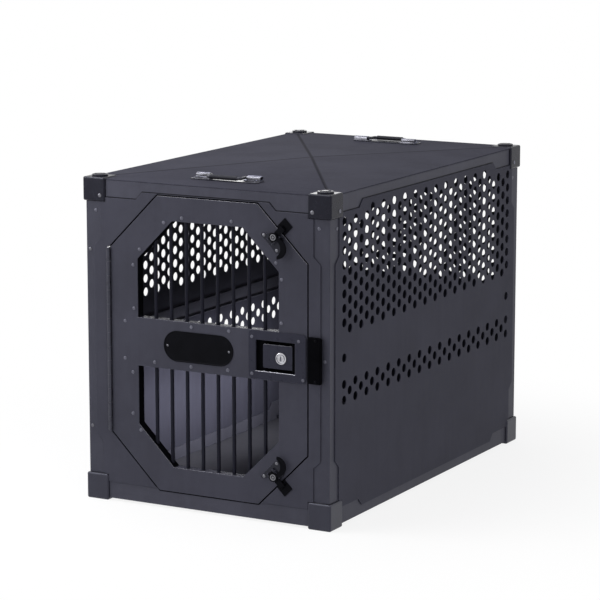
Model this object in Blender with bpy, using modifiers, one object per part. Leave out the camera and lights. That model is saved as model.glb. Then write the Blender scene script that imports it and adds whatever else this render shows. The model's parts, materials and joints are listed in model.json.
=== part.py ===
"""Aluminium dog kennel: an angle-rail frame with cast corners, lapped panels and a latched door.

Sizes are in millimetres and are turned into metres where a shape is made. x runs from the left
side, d is the depth behind the front face of the cast corners, z is the height above the floor.
"""

import math

import bmesh
import bpy
from mathutils import Matrix, Vector

MM = 0.001

# Whole kennel, over its cast corners
width = 584.0
length = 914.0
height = 686.0
latch_stand = 9.0
gap = 0.3

# Cast corners
casting_side = 53.0
casting_height = 50.0
foot_height = 56.0
casting_wall = 14.0
casting_edge = 2.5
leg_side = 8.2
leg_reach = 55.0
stacking_boss_r = 17.0
stacking_boss_height = 4.5
stacking_socket_r = 18.5

# Angle rails and posts
rail_inset = 5.0
rail_wall = 2.5
flange_end = 50.0
flange_waist = 34.0
waist_near = 127.0
waist_far = 142.0

# Sheet panels, lapped on the outside of the rails
sheet = 2.0
panel_inset = rail_inset - gap - sheet
corner_margin = 41.0
middle_margin = 25.0
roof_rise = 9.0
roof_z = height - rail_inset + gap
floor_margin = 17.0

# Perforations. The round holes are drawn with few sides, at the same open area
hole_area_r = 9.5
hole_sides = 4
hole_clear = 3.0
hole_pitch = 24.6
hole_row = 29.4
first_hole_y = 63.0
odd_row_z = 420.0
even_row_z = 405.3
low_band_z = (293.5, 261.0)
single_hole_z = 348.0
rear_columns = 19
rear_pitch = 24.95

# Belt rail inside each side panel
belt_z = (322.0, 354.0)
belt_from_end = 80.0
belt_depth = 12.0

# Door
door_left = 65.0
door_right = 55.0
door_bottom = 38.0
door_top = 29.0
door_chamfer = 114.0
door_gap = 3.0
window_side = 65.0
window_bottom = 52.0
window_top = 50.0
window_chamfer = 84.0
window_flange = 15.0
window_depth = 22.0
band_z = (298.0, 400.0)
bar_r = 4.0
bar_count = 8
bar_d = 14.7

# Piano hinge
hinge_set_off = 4.0
knuckle_count = 13
knuckle_r = 4.0
pin_r = 1.3
bore_r = 1.6
knuckle_sides = 6
leaf_wall = 1.2
leaf_reach = 25.0

# Paddle latch, measured from the door's free edge and from the height of its middle
latch_z = 350.0
flange_from_edge = 2.0
flange_size = (132.0, 100.0)
recess_left = 17.0
recess_right = 26.0
recess_below = 33.0
recess_above = 30.0
scoop_width = 20.8
scoop_depth = 8.4
recess_depth = 18.0
latch_wall = 2.0
finger_gap = 14.0
paddle_below = 27.0
paddle_above = 23.0
paddle_d = (4.0, 7.5)
paddle_pivot_d = 6.2
paddle_pivot_r = 3.0
key_from_pivot = 27.0
key_drop = 4.0
key_head_r = 12.0
key_body_r = 9.0
keyway_size = (2.4, 10.0)
bolt_below = 9.0
bolt_above = 7.0
bolt_d = (8.0, 19.0)
bolt_nose = 7.0
bolt_length = 14.0
bolt_reach = 2.0
bolt_stroke = 12.0

# Strike guard beside the latch
guard_from_door = 3.5
guard_size = (32.5, 96.0)
guard_stand = 6.0

# Butterfly latches on the two right-hand chamfers. The hubs are measured from the door's edges
butterfly_hub_inset = {"upper": (72.0, 63.0), "lower": (73.0, 63.0)}
butterfly_base = ((-27.0, 31.0), (-22.0, 12.0))
hub_r = 9.0
hub_w = 7.8
blade_w = (8.3, 11.0)
guide_wall = 3.2
guide_v = (-15.0, 11.0)
guide_top = 7.5
hook_width = 12.4
hook_reach = 28.3
hook_tail = 12.0
hook_w = (4.6, 7.2)
keeper_side = 25.0
keeper_start = 18.5
keeper_w = 1.8

# Folding handles on the roof
handle_from_end = 95.0
handle_base = (158.0, 36.0)
handle_base_round = 6.0
handle_plate = 2.0
handle_lug_x = (44.0, 76.0)
handle_lug_half = 7.0
handle_lug_top = 11.6
handle_rod_r = 3.0
handle_grip_r = 4.4
handle_axis_z = 7.4
handle_axis_y = 9.0
handle_throw = 24.0

# Places that follow from the sizes above
belt_y = (belt_from_end, length - belt_from_end)
door_x = (door_left, width - door_right)
door_z = (door_bottom, height - door_top)
window_x = (door_x[0] + window_side, door_x[1] - window_side)
upper_window_z = (band_z[1], door_z[1] - window_top)
lower_window_z = (door_z[0] + window_bottom, band_z[0])
hinge_x = door_x[0] - hinge_set_off
hinge_z = (door_z[0] + door_chamfer + 1, door_z[1] - door_chamfer - 1)
flange_x = (door_x[1] - flange_from_edge - flange_size[0], door_x[1] - flange_from_edge)
flange_z = (latch_z - flange_size[1] / 2, latch_z + flange_size[1] / 2)
recess_x = (flange_x[0] + recess_left, flange_x[1] - recess_right)
recess_z = (latch_z - recess_below, latch_z + recess_above)
scoop_x = recess_x[0] + scoop_width
paddle_pivot = (recess_x[1] - paddle_pivot_r - 2.0, paddle_pivot_d)
paddle_x = (recess_x[0] + finger_gap, paddle_pivot[0] - 0.5)
paddle_z = (latch_z - paddle_below, latch_z + paddle_above)
key_x = paddle_pivot[0] - key_from_pivot
key_z = latch_z - key_drop
bolt_x = (door_x[1] + bolt_reach - bolt_length, door_x[1] + bolt_reach)
bolt_z = (latch_z - bolt_below, latch_z + bolt_above)
guard_x = (door_x[1] + guard_from_door, door_x[1] + guard_from_door + guard_size[0])
guard_z = (latch_z - guard_size[1] / 2, latch_z + guard_size[1] / 2)
bar_middle_x = sum(window_x) / 2
last_bar_x = scoop_x - latch_wall - 2 * gap - bar_r
bar_pitch = 2 * (last_bar_x - bar_middle_x) / (bar_count - 1)

front_y = -(length - latch_stand) / 2
PLAN = Matrix.Identity(4)
FRONT = Matrix(((1, 0, 0, 0), (0, 0, -1, 0), (0, 1, 0, 0), (0, 0, 0, 1)))
SIDE = Matrix(((0, 0, 1, 0), (1, 0, 0, 0), (0, 1, 0, 0), (0, 0, 0, 1)))
EDGE = Matrix(((1, 0, 0, 0), (0, 0, 1, 0), (0, 1, 0, 0), (0, 0, 0, 1)))


def place(x, d, z):
    """A point of the kennel, from x, depth and height in millimetres to world metres."""
    return Vector((x - width / 2, front_y + d, z)) * MM


def clear_scene():
    for obj in list(bpy.data.objects):
        bpy.data.objects.remove(obj, do_unlink=True)


def new_collection(name, hidden=False):
    made = bpy.data.collections.new(name)
    bpy.context.scene.collection.children.link(made)
    made.hide_render = hidden
    return made


clear_scene()
parts = new_collection("dog_kennel")
cutters = new_collection("cutters", hidden=True)


# Shapes

def prism(name, outline, thickness, holes=(), view=PLAN, at=(0, 0, 0)):
    """A flat outline with holes, in millimetres, thickened evenly about its own plane."""
    curve = bpy.data.curves.new(name, "CURVE")
    curve.dimensions = "2D"
    curve.fill_mode = "BOTH"
    curve.extrude = thickness / 2 * MM
    for loop in (outline, *holes):
        spline = curve.splines.new("POLY")
        spline.points.add(len(loop) - 1)
        for point, (u, v) in zip(spline.points, loop):
            point.co = (u * MM, v * MM, 0, 1)
        spline.use_cyclic_u = True
    obj = bpy.data.objects.new(name, curve)
    parts.objects.link(obj)
    obj.matrix_world = Matrix.Translation(at) @ view
    return obj


def front_plate(name, outline, d, thickness, holes=()):
    """A plate parallel to the front, drawn in x and z, from depth d backwards."""
    shift = [[(x - width / 2, z) for x, z in loop] for loop in (outline, *holes)]
    middle = (0, (front_y + d + thickness / 2) * MM, 0)
    return prism(name, shift[0], thickness, shift[1:], FRONT, middle)


def plan_prism(name, outline, z_low, z_high, holes=()):
    """A prism that stands on its plan outline, drawn in x and d."""
    shift = [[(x - width / 2, front_y + d) for x, d in loop] for loop in (outline, *holes)]
    middle = (0, 0, (z_low + z_high) / 2 * MM)
    return prism(name, shift[0], z_high - z_low, shift[1:], PLAN, middle)


def as_mesh(obj):
    """The same object as a mesh with welded caps, ready for Booleans."""
    graph = bpy.context.evaluated_depsgraph_get()
    mesh = bpy.data.meshes.new_from_object(obj.evaluated_get(graph))
    work = bmesh.new()
    work.from_mesh(mesh)
    bmesh.ops.remove_doubles(work, verts=work.verts, dist=1e-6)
    bmesh.ops.recalc_face_normals(work, faces=work.faces)
    work.to_mesh(mesh)
    work.free()
    name = obj.name
    matrix = obj.matrix_world.copy()
    bpy.data.objects.remove(obj, do_unlink=True)
    made = bpy.data.objects.new(name, mesh)
    parts.objects.link(made)
    made.matrix_world = matrix
    return made


def mesh_object(name, work, at=(0, 0, 0)):
    mesh = bpy.data.meshes.new(name)
    work.to_mesh(mesh)
    work.free()
    obj = bpy.data.objects.new(name, mesh)
    parts.objects.link(obj)
    obj.matrix_world = Matrix.Translation(at)
    return obj


def box(name, x, d, z):
    """A block between two x, two depths and two heights."""
    work = bmesh.new()
    bmesh.ops.create_cube(work, size=1)
    sides = Vector((x[1] - x[0], d[1] - d[0], z[1] - z[0])) * MM
    bmesh.ops.scale(work, vec=sides, verts=work.verts)
    centre = place(sum(x) / 2, sum(d) / 2, sum(z) / 2)
    return mesh_object(name, work, centre)


def cylinder(name, r, low, high, at, axis=(0, 0, 1), sides=16):
    """A cylinder along an axis through a world point, between two stations in millimetres."""
    work = bmesh.new()
    bmesh.ops.create_cone(
        work, cap_ends=True, segments=sides,
        radius1=r * MM, radius2=r * MM, depth=(high - low) * MM,
    )
    bmesh.ops.translate(work, verts=work.verts, vec=(0, 0, (low + high) / 2 * MM))
    obj = mesh_object(name, work)
    turn = Vector((0, 0, 1)).rotation_difference(Vector(axis)).to_matrix().to_4x4()
    obj.matrix_world = Matrix.Translation(at) @ turn
    return obj


def circle(x, y, r, sides, turn=0.0):
    steps = [turn + 2 * math.pi * k / sides for k in range(sides)]
    return [(x + r * math.cos(a), y + r * math.sin(a)) for a in steps]


def rounded_rectangle(x, y, r, steps=3):
    """Corner points of a rectangle with round corners, anticlockwise."""
    corners = ((x[1] - r, y[1] - r, 0), (x[0] + r, y[1] - r, 1),
               (x[0] + r, y[0] + r, 2), (x[1] - r, y[0] + r, 3))
    points = []
    for cx, cy, quarter in corners:
        for k in range(steps + 1):
            a = (quarter + k / steps) * math.pi / 2
            points.append((cx + r * math.cos(a), cy + r * math.sin(a)))
    return points


def grown(outline, distance):
    """The anticlockwise outline moved outwards by an even distance, with sharp corners."""
    points = [Vector(p) for p in outline]
    made = []
    for k, here in enumerate(points):
        before = (here - points[k - 1]).normalized()
        after = (points[(k + 1) % len(points)] - here).normalized()
        out_before = Vector((before.y, -before.x))
        out_after = Vector((after.y, -after.x))
        mitre = (out_before + out_after).normalized()
        made.append(tuple(here + mitre * distance / mitre.dot(out_before)))
    return made


def combine(obj, other, operation):
    """Cuts or joins with a helper that is kept out of the kennel."""
    parts.objects.unlink(other)
    cutters.objects.link(other)
    other.hide_render = True
    other.display_type = "WIRE"
    modifier = obj.modifiers.new(operation.title(), "BOOLEAN")
    modifier.operation = operation
    modifier.object = other
    return obj


def cut(obj, *others):
    for other in others:
        combine(obj, other, "DIFFERENCE")
    return obj


def join(obj, *others):
    for other in others:
        combine(obj, other, "UNION")
    return obj


def merged(objects):
    """Several separate blocks as one helper mesh in world coordinates."""
    work = bmesh.new()
    for obj in objects:
        piece = obj.data.copy()
        piece.transform(obj.matrix_world)
        work.from_mesh(piece)
        bpy.data.objects.remove(obj, do_unlink=True)
    return mesh_object("merged_blocks", work)


def copy_of(obj, name, matrix):
    """A second object on the same mesh and modifiers, moved by a matrix."""
    twin = obj.copy()
    twin.name = name
    parts.objects.link(twin)
    twin.matrix_world = matrix @ obj.matrix_world
    return twin


def soften(obj, amount, segments=1, angle=40):
    bevel = obj.modifiers.new("Bevel", "BEVEL")
    bevel.width = amount * MM
    bevel.segments = segments
    bevel.limit_method = "ANGLE"
    bevel.angle_limit = math.radians(angle)
    return obj


# Cast corners: a thick-walled corner block with a leg in each of the three angles

def corner_casting(name, block_height, top):
    """The corner at x = 0, d = 0. Its outer horizontal face is at the top or at the floor."""
    z = (height - block_height, height) if top else (0.0, block_height)
    inner_z = (z[0] - 1, z[1] - casting_wall) if top else (casting_wall, z[1] + 1)
    block = soften(box(name, (0, casting_side), (0, casting_side), z), casting_edge)
    hollow = (casting_wall, casting_side + 1)
    cut(block, box("hollow", hollow, hollow, inner_z))
    near = rail_inset + rail_wall + gap
    leg = (near, near + leg_side)
    leg_z = (height - leg[1], height - leg[0]) if top else leg
    root = casting_side - 10
    reach = (root, casting_side + leg_reach)
    reach_z = (z[0] - leg_reach, z[0] + 10) if top else (z[1] - 10, z[1] + leg_reach)
    join(block, box("leg_x", reach, leg, leg_z))
    join(block, box("leg_d", leg, reach, leg_z))
    join(block, box("leg_z", leg, leg, reach_z))
    middle = casting_side / 2
    if top:
        rise = (height - 3, height + stacking_boss_height)
        join(block, cylinder("boss", stacking_boss_r, *rise, place(middle, middle, 0), sides=8))
    else:
        sunk = (-1, stacking_boss_height + 1)
        cut(block, cylinder("socket", stacking_socket_r, *sunk, place(middle, middle, 0), sides=8))
    return block


def four_corners(first, names):
    """Turns the left front corner into the other three, about the kennel's own corners."""
    spots = {"front_right": (width, 0.0, 1), "rear_right": (width, length, 2),
             "rear_left": (0.0, length, 3)}
    for spot, (x, d, quarter) in spots.items():
        turn = Matrix.Rotation(quarter * math.pi / 2, 4, "Z")
        home = Matrix.Translation(-place(0, 0, 0))
        matrix = Matrix.Translation(place(x, d, 0)) @ turn @ home
        turned_copy(first, names.format(spot), matrix)


def turned_copy(first, name, matrix):
    """A turned copy whose cutters are turned with it."""
    twin = copy_of(first, name, matrix)
    for modifier in twin.modifiers:
        if modifier.type == "BOOLEAN":
            helper = modifier.object.copy()
            cutters.objects.link(helper)
            helper.matrix_world = matrix @ modifier.object.matrix_world
            modifier.object = helper
    return twin


four_corners(corner_casting("casting_top_front_left", casting_height, True), "casting_top_{}")
four_corners(corner_casting("casting_bottom_front_left", foot_height, False), "casting_bottom_{}")


# Angle rails: an L section, with flanges that widen towards the castings

def angle_rail(name, start, end, along, first, second, waists=(True, True)):
    """A rail whose outer corner line runs between two points; its flanges lie along two axes."""
    low, high = rail_inset, rail_inset + rail_wall
    section = [(low, low), (flange_end, low), (flange_end, high),
               (high, high), (high, flange_end), (low, flange_end)]
    span = (end - start).length / MM
    rail = as_mesh(prism(name, section, span))
    side = flange_end + 1
    taper = waist_far - waist_near
    half = span / 2 + casting_side + gap - waist_far
    waist = [(flange_waist, -half), (side, -half - taper), (side, half + taper), (flange_waist, half)]
    home = Matrix.Identity(4)
    for column, axis in enumerate((first, second, along)):
        for row in range(3):
            home[row][column] = axis[row]
    home.translation = (start + end) / 2
    for turn, wanted in zip((EDGE, SIDE), waists):
        if wanted:
            cutter = as_mesh(prism("waist", waist, 2 * (rail_inset + rail_wall) + 2, (), turn))
            cutter.matrix_world = home @ cutter.matrix_world
            cut(rail, cutter)
    rail.matrix_world = home
    return rail


X, Y, Z = Vector((1, 0, 0)), Vector((0, 1, 0)), Vector((0, 0, 1))
block = casting_side + gap
for side, x, inward in (("left", 0.0, X), ("right", width, -X)):
    for end, d, back in (("front", 0.0, Y), ("rear", length, -Y)):
        low = place(x, d, foot_height + gap)
        high = place(x, d, height - casting_height - gap)
        pair = (inward, back) if inward.cross(back).z > 0 else (back, inward)
        angle_rail(f"post_{end}_{side}", low, high, Z, *pair)
for level, z, inward in (("bottom", 0.0, Z), ("top", height, -Z)):
    for end, d, back in (("front", 0.0, Y), ("rear", length, -Y)):
        pair = (back, inward) if back.cross(inward).x > 0 else (inward, back)
        plain = level == "bottom" and end == "front"
        waists = [not (plain and flange == inward) for flange in pair]
        low, high = place(block, d, z), place(width - block, d, z)
        angle_rail(f"rail_{level}_{end}", low, high, X, *pair, waists=waists)
    for side, x, across in (("left", 0.0, X), ("right", width, -X)):
        pair = (inward, across) if inward.cross(across).y > 0 else (across, inward)
        low, high = place(x, block, z), place(x, length - block, z)
        angle_rail(f"rail_{level}_{side}", low, high, Y, *pair)


# Panels: stepped outlines that keep an even lap on the flanges

def corner_path(z_block):
    """Points of one panel corner, from the upright edge to the level edge."""
    x_block = casting_side + gap
    return [(middle_margin, waist_far), (corner_margin, waist_near), (corner_margin, z_block),
            (x_block, z_block), (x_block, corner_margin), (waist_near, corner_margin),
            (waist_far, middle_margin)]


def panel_outline(across):
    """The outline of a full panel on a face that is `across` wide."""
    bottom = corner_path(foot_height + gap)
    top = [(x, height - z) for x, z in corner_path(casting_height + gap)]
    right = [[(across - x, z) for x, z in path] for path in (bottom, top)]
    return bottom + right[0][::-1] + right[1] + top[::-1]


def hole(x, z):
    """One perforation with as much open area as the round one."""
    r = hole_area_r * math.sqrt(2 * math.pi / (hole_sides * math.sin(2 * math.pi / hole_sides)))
    return circle(x, z, r, hole_sides, math.pi / 2)


def hole_columns(first, pitch, count, extra_rows=0):
    """Middles of staggered columns: odd columns start half a row above even ones."""
    rows = range(-extra_rows, math.ceil((height - even_row_z) / hole_row))
    found = []
    for k in range(count):
        start = odd_row_z if k % 2 == 0 else even_row_z
        found += [(first + k * pitch, start + row * hole_row) for row in rows]
    return found


def side_holes():
    count = int((length - 2 * first_hole_y) / hole_pitch) + 1
    found = hole_columns(first_hole_y, hole_pitch, count)
    for k in range(count):
        y = first_hole_y + k * hole_pitch
        found += [(y, z) for z in low_band_z] if k % 2 == 0 else [(y, sum(low_band_z) / 2)]
        if k in (0, count - 1):
            found.append((y, single_hole_z))
    return found


def edge_distance(point, start, end):
    """How far a point is from the straight edge between two others."""
    point, start, end = Vector(point), Vector(start), Vector(end)
    along = end - start
    share = max(0.0, min(1.0, (point - start).dot(along) / along.length_squared))
    return (point - start - along * share).length


def encloses(outline, point):
    x, z = point
    sides = 0
    for k, (x1, z1) in enumerate(outline):
        x0, z0 = outline[k - 1]
        if (z0 > z) != (z1 > z) and x < x0 + (z - z0) / (z1 - z0) * (x1 - x0):
            sides += 1
    return sides % 2 == 1


def fitting_holes(outline, middles):
    """The perforations that leave a full edge of sheet inside the panel's outline."""
    kept = []
    for middle in middles:
        points = hole(*middle)
        edges = [(outline[k - 1], outline[k]) for k in range(len(outline))]
        near = min(edge_distance(p, *edge) for p in points for edge in edges)
        if near >= hole_clear and all(encloses(outline, p) for p in points):
            kept.append(points)
    return kept


def side_panel(name, x):
    outline = panel_outline(length)
    return prism(name, outline, sheet, fitting_holes(outline, side_holes()), SIDE, place(x, 0, 0))


side_panel("left_panel", panel_inset + sheet / 2)
side_panel("right_panel", width - panel_inset - sheet / 2)
rear_first = width / 2 - (rear_columns - 1) / 2 * rear_pitch
rear_outline = panel_outline(width)
rear_holes = fitting_holes(rear_outline, hole_columns(rear_first, rear_pitch, rear_columns, 1))
front_plate("rear_panel", rear_outline, length - panel_inset - sheet, sheet, rear_holes)


def notched_outline(margin, notch, creased=False):
    """A plan outline inside the kennel's envelope, notched at its corners for the castings."""
    corner = [(margin, notch), (notch, notch), (notch, margin)]
    if creased:
        lean = (width / 2 - margin) / (length / 2 - margin)
        corner.insert(1, (margin + (notch - margin) * lean, notch))
    right = [(width - x, d) for x, d in corner][::-1]
    near = corner + right
    return near + [(x, length - d) for x, d in near][::-1]


plan_prism("floor_pan", notched_outline(floor_margin, block),
           rail_inset + rail_wall + gap, rail_inset + rail_wall + gap + sheet)


def roof_height(x, d):
    """The underside of four sloping faces that meet in creases from corner to corner."""
    across = abs(x - width / 2) / (width / 2 - rail_inset)
    along = abs(d - length / 2) / (length / 2 - rail_inset)
    return roof_z + roof_rise * (1 - max(across, along))


def roof_panel():
    """A sheet with creases from its corners to a raised middle, so that it sheds water."""
    work = bmesh.new()
    outline = notched_outline(rail_inset, block, creased=True)
    rim = [work.verts.new(place(x, d, roof_height(x, d))) for x, d in outline]
    face = work.faces.new(rim)
    bmesh.ops.poke(work, faces=[face])
    middle = min(work.verts, key=lambda v: v.co.x ** 2 + v.co.y ** 2)
    middle.co = place(width / 2, length / 2, roof_z + roof_rise)
    bmesh.ops.recalc_face_normals(work, faces=work.faces)
    roof = mesh_object("roof_panel", work)
    shell = roof.modifiers.new("Solidify", "SOLIDIFY")
    shell.thickness = sheet * MM
    shell.offset = 1.0
    return roof


roof_panel()


def belt_rail(name, x, inward):
    """A channel on the inner face of a side panel, its flanges pointing into the cabin."""
    near = panel_inset + sheet + gap
    z0, z1 = belt_z
    section = [(near, z0), (near + belt_depth, z0), (near + belt_depth, z0 + sheet),
               (near + sheet, z0 + sheet), (near + sheet, z1 - sheet),
               (near + belt_depth, z1 - sheet), (near + belt_depth, z1), (near, z1)]
    outline = [(x + inward * across - width / 2, z) for across, z in section]
    middle = (0, (front_y + sum(belt_y) / 2) * MM, 0)
    return prism(name, outline, belt_y[1] - belt_y[0], (), FRONT, middle)


belt_rail("belt_rail_left", 0.0, 1)
belt_rail("belt_rail_right", width, -1)


# Door opening and door

def chamfered(x, z, chamfer):
    """An upright octagon, anticlockwise from its lower left corner."""
    return [(x[0] + chamfer, z[0]), (x[1] - chamfer, z[0]), (x[1], z[0] + chamfer),
            (x[1], z[1] - chamfer), (x[1] - chamfer, z[1]), (x[0] + chamfer, z[1]),
            (x[0], z[1] - chamfer), (x[0], z[0] + chamfer)]


door_outline = chamfered(door_x, door_z, door_chamfer)
opening = grown(door_outline, door_gap)
opening_x = (door_x[0] - door_gap, door_x[1] + door_gap)
chamfer_low = opening[2][1]
chamfer_high = opening[3][1]
knuckle_room = knuckle_r + 1.5


def cheek(name, mirror):
    """The fixed plate beside the door. The left one is drawn; the right one is its mirror."""
    low = corner_path(foot_height + gap)[:-1]
    high = [(x, height - z) for x, z in corner_path(casting_height + gap)]
    top = height - middle_margin
    near = opening_x[0] if not mirror else width - opening_x[1]
    rise = top - chamfer_high
    run = near + chamfer_low - corner_margin
    inner = [(near + rise, top), (near, chamfer_high)]
    if not mirror:
        z0, z1 = hinge_z[0] - 1, hinge_z[1] + 1
        edge = hinge_x - knuckle_room
        inner += [(near, z1), (edge, z1), (edge, z0), (near, z0)]
    inner += [(near, chamfer_low), (run, corner_margin)]
    outline = high + inner + low[::-1][:-1] + [(middle_margin, waist_far)]
    if mirror:
        outline = [(width - x, z) for x, z in outline]
    return front_plate(name, outline, panel_inset, sheet)


cheek("front_panel_left", False)
cheek("front_panel_right", True)

upper_window = [(window_x[0], upper_window_z[0]), (window_x[1], upper_window_z[0]),
                (window_x[1], upper_window_z[1] - window_chamfer),
                (window_x[1] - window_chamfer, upper_window_z[1]),
                (window_x[0] + window_chamfer, upper_window_z[1]),
                (window_x[0], upper_window_z[1] - window_chamfer)]
lower_window = [(window_x[0] + window_chamfer, lower_window_z[0]),
                (window_x[1] - window_chamfer, lower_window_z[0]),
                (window_x[1], lower_window_z[0] + window_chamfer),
                (window_x[1], lower_window_z[1]), (window_x[0], lower_window_z[1]),
                (window_x[0], lower_window_z[0] + window_chamfer)]
cup_x = (recess_x[0] - latch_wall, recess_x[1] + latch_wall)
cup_z = (recess_z[0] - latch_wall, recess_z[1] + latch_wall)
latch_hole = [(cup_x[0] - gap, cup_z[0] - gap), (cup_x[1] + gap, cup_z[0] - gap),
              (cup_x[1] + gap, cup_z[1] + gap), (cup_x[0] - gap, cup_z[1] + gap)]


def door_skin():
    """The flat outer sheet, with two windows, a latch hole and room for the hinge knuckles."""
    edge = hinge_x + knuckle_room - 0.5
    z0, z1 = hinge_z[0] - 1, hinge_z[1] + 1
    outline = door_outline[:-1] + [(door_x[0], z1), (edge, z1), (edge, z0), (door_x[0], z0)]
    return front_plate("door_skin", outline, panel_inset, sheet,
                       [upper_window, lower_window, latch_hole])


skin = door_skin()
skin_back = panel_inset + sheet + gap
bars_x = [bar_middle_x + (k - (bar_count - 1) / 2) * bar_pitch for k in range(bar_count)]


def bar_notches():
    """Blocks that open the two middle lips for the bars, from the back."""
    z = (lower_window_z[1] - 8, upper_window_z[0] + 8)
    room = bar_r + gap
    d = (bar_d - room, panel_inset + window_depth + 5)
    return merged([box("notch", (x - room, x + room), d, z) for x in bars_x])


def window_frame(name, window):
    """An L-section ring: a flange on the back of the skin and a deep lip round the window."""
    flange = as_mesh(front_plate(name, grown(window, window_flange), skin_back, sheet, [window]))
    depth = panel_inset + window_depth - skin_back
    lip = as_mesh(front_plate("lip", grown(window, sheet), skin_back, depth, [window]))
    join(flange, lip)
    return cut(flange, bar_notches())


frames = [window_frame("window_frame_upper", upper_window),
          window_frame("window_frame_lower", lower_window)]


def door_bar(name, x):
    """A round bar from lip to lip, its ends cut to the slope of the lips that it meets."""
    side = min(x - window_x[0], window_x[1] - x)
    slope = 1 if x < bar_middle_x else -1
    inset = window_chamfer - side
    bar = cylinder(name, bar_r, lower_window_z[0] + gap, upper_window_z[1] - gap,
                   place(x, bar_d, 0), sides=8)
    for vert in bar.data.vertices:
        across = vert.co.x / MM
        cut_back = max(inset - slope * across + 0.15, 0) * MM
        vert.co.z += -cut_back if vert.co.z > (upper_window_z[0] * MM) else cut_back
    return bar


bars = [door_bar(f"door_bar_{k + 1}", x) for k, x in enumerate(bars_x)]


# Piano hinge

def knuckle_profile(side):
    """A barrel with a bore, and a web that runs back beside it to the leaf."""
    arc = circle(0, 0, knuckle_r, knuckle_sides, math.pi)
    tail = [(-2.5, 5.9), (-knuckle_r, 5.9)]
    return [(hinge_x + side * x, d) for x, d in arc + tail]


def hinge_leaf(name, side, knuckles):
    """One leaf: a strip behind the sheet and every second knuckle. side is -1 on the frame."""
    x = sorted((hinge_x + side * 2.2, hinge_x + side * leaf_reach))
    leaf = box(name, x, (skin_back, skin_back + leaf_wall), hinge_z)
    pitch = (hinge_z[1] - hinge_z[0]) / knuckle_count
    bore = circle(hinge_x, 0, bore_r, knuckle_sides)
    rolled = []
    for k in knuckles:
        z = hinge_z[0] + k * pitch
        rolled.append(as_mesh(plan_prism("knuckle", knuckle_profile(-side), z + gap / 2,
                                         z + pitch - gap / 2, [bore])))
    return join(leaf, merged(rolled))


leaf_frame = hinge_leaf("hinge_leaf_frame", -1, range(0, knuckle_count, 2))
leaf_door = hinge_leaf("hinge_leaf_door", 1, range(1, knuckle_count, 2))
hinge_pin = cylinder("hinge_pin", pin_r, hinge_z[0] - 1, hinge_z[1] + 1,
                     place(hinge_x, 0, 0), sides=knuckle_sides)


# Paddle latch

def latch_housing():
    """A flush flange with a stepped cup behind it and a bolt tunnel at its right."""
    front = 0.2
    flange = as_mesh(front_plate("latch_housing", rounded_rectangle(flange_x, flange_z, 8),
                                 front, panel_inset - gap - front))
    shallow = scoop_depth + latch_wall
    deep = recess_depth + latch_wall
    step = scoop_x - latch_wall
    cup = [(cup_x[0], 1.2), (cup_x[0], shallow), (step, shallow), (step, deep),
           (cup_x[1], deep), (cup_x[1], 1.2)]
    join(flange, as_mesh(plan_prism("cup", cup, *cup_z)))
    tunnel_z = (bolt_z[0] - 3, bolt_z[1] + 3)
    tunnel_x = (cup_x[1] - 1, door_x[1] - 1)
    join(flange, box("tunnel", tunnel_x, (skin_back, bolt_d[1] + 2.5), tunnel_z))
    recess = [(recess_x[0], -1), (recess_x[0], scoop_depth), (scoop_x, scoop_depth),
              (scoop_x, recess_depth), (recess_x[1], recess_depth), (recess_x[1], -1)]
    cut(flange, as_mesh(plan_prism("recess", recess, *recess_z)))
    channel_x = (bolt_x[0] - bolt_stroke - gap, door_x[1] + 2)
    channel_d = (bolt_d[0] - gap, bolt_d[1] + gap)
    channel_z = (bolt_z[0] - gap, bolt_z[1] + gap)
    return cut(flange, box("bolt_channel", channel_x, channel_d, channel_z))


housing = latch_housing()


def latch_paddle():
    """A flat pull with round corners on its free side and a pivot barrel at the other."""
    plate = as_mesh(front_plate("latch_paddle", rounded_rectangle(paddle_x, paddle_z, 4, 2),
                                paddle_d[0], paddle_d[1] - paddle_d[0]))
    x, d = paddle_pivot
    barrel = cylinder("barrel", paddle_pivot_r, recess_z[0] + gap, recess_z[1] - gap,
                      place(x, d, 0), sides=10)
    join(plate, barrel)
    key_room = cylinder("key_room", key_body_r + gap, -recess_depth, recess_depth,
                        place(key_x, 0, key_z), (0, -1, 0))
    return cut(plate, key_room)


paddle = latch_paddle()


def key_plug():
    """A turned lock plug with a wide head and a keyway."""
    head = (1.2, paddle_d[0] - gap)
    back = recess_depth - 3
    profile = [(0, -head[0]), (key_head_r, -head[0]), (key_head_r, -head[1]),
               (key_body_r, -head[1]), (key_body_r, -back), (0, -back)]
    mesh = bpy.data.meshes.new("key_plug")
    points = [(r * MM, 0, h * MM) for r, h in profile]
    mesh.from_pydata(points, [(k, k + 1) for k in range(len(points) - 1)], [])
    plug = bpy.data.objects.new("key_plug", mesh)
    parts.objects.link(plug)
    screw = plug.modifiers.new("Screw", "SCREW")
    screw.steps = screw.render_steps = 12
    screw.use_merge_vertices = True
    screw.merge_threshold = 0.00001
    plug.matrix_world = Matrix.Translation(place(key_x, 0, key_z)) @ FRONT
    half_wide, half_tall = (size / 2 for size in keyway_size)
    keyway = box("keyway", (key_x - half_wide, key_x + half_wide), (0, 5),
                 (key_z - half_tall, key_z + half_tall))
    return cut(plug, keyway)


plug = key_plug()


def latch_bolt():
    """The sliding bolt. Its nose is bevelled on the inner side, so that the door slams shut."""
    (x0, x1), (d0, d1) = bolt_x, bolt_d
    outline = [(x0, d0), (x1, d0), (x1, d0 + 3), (x1 - bolt_nose, d1), (x0, d1)]
    return plan_prism("latch_bolt", outline, *bolt_z)


bolt = latch_bolt()

guard_back = panel_inset - gap
guard = box("strike_guard", guard_x, (-guard_stand, guard_back), guard_z)
soften(guard, 4.0, 2)


# Butterfly latches, drawn in u along the chamfer, v outwards across it and w out of the door

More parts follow.
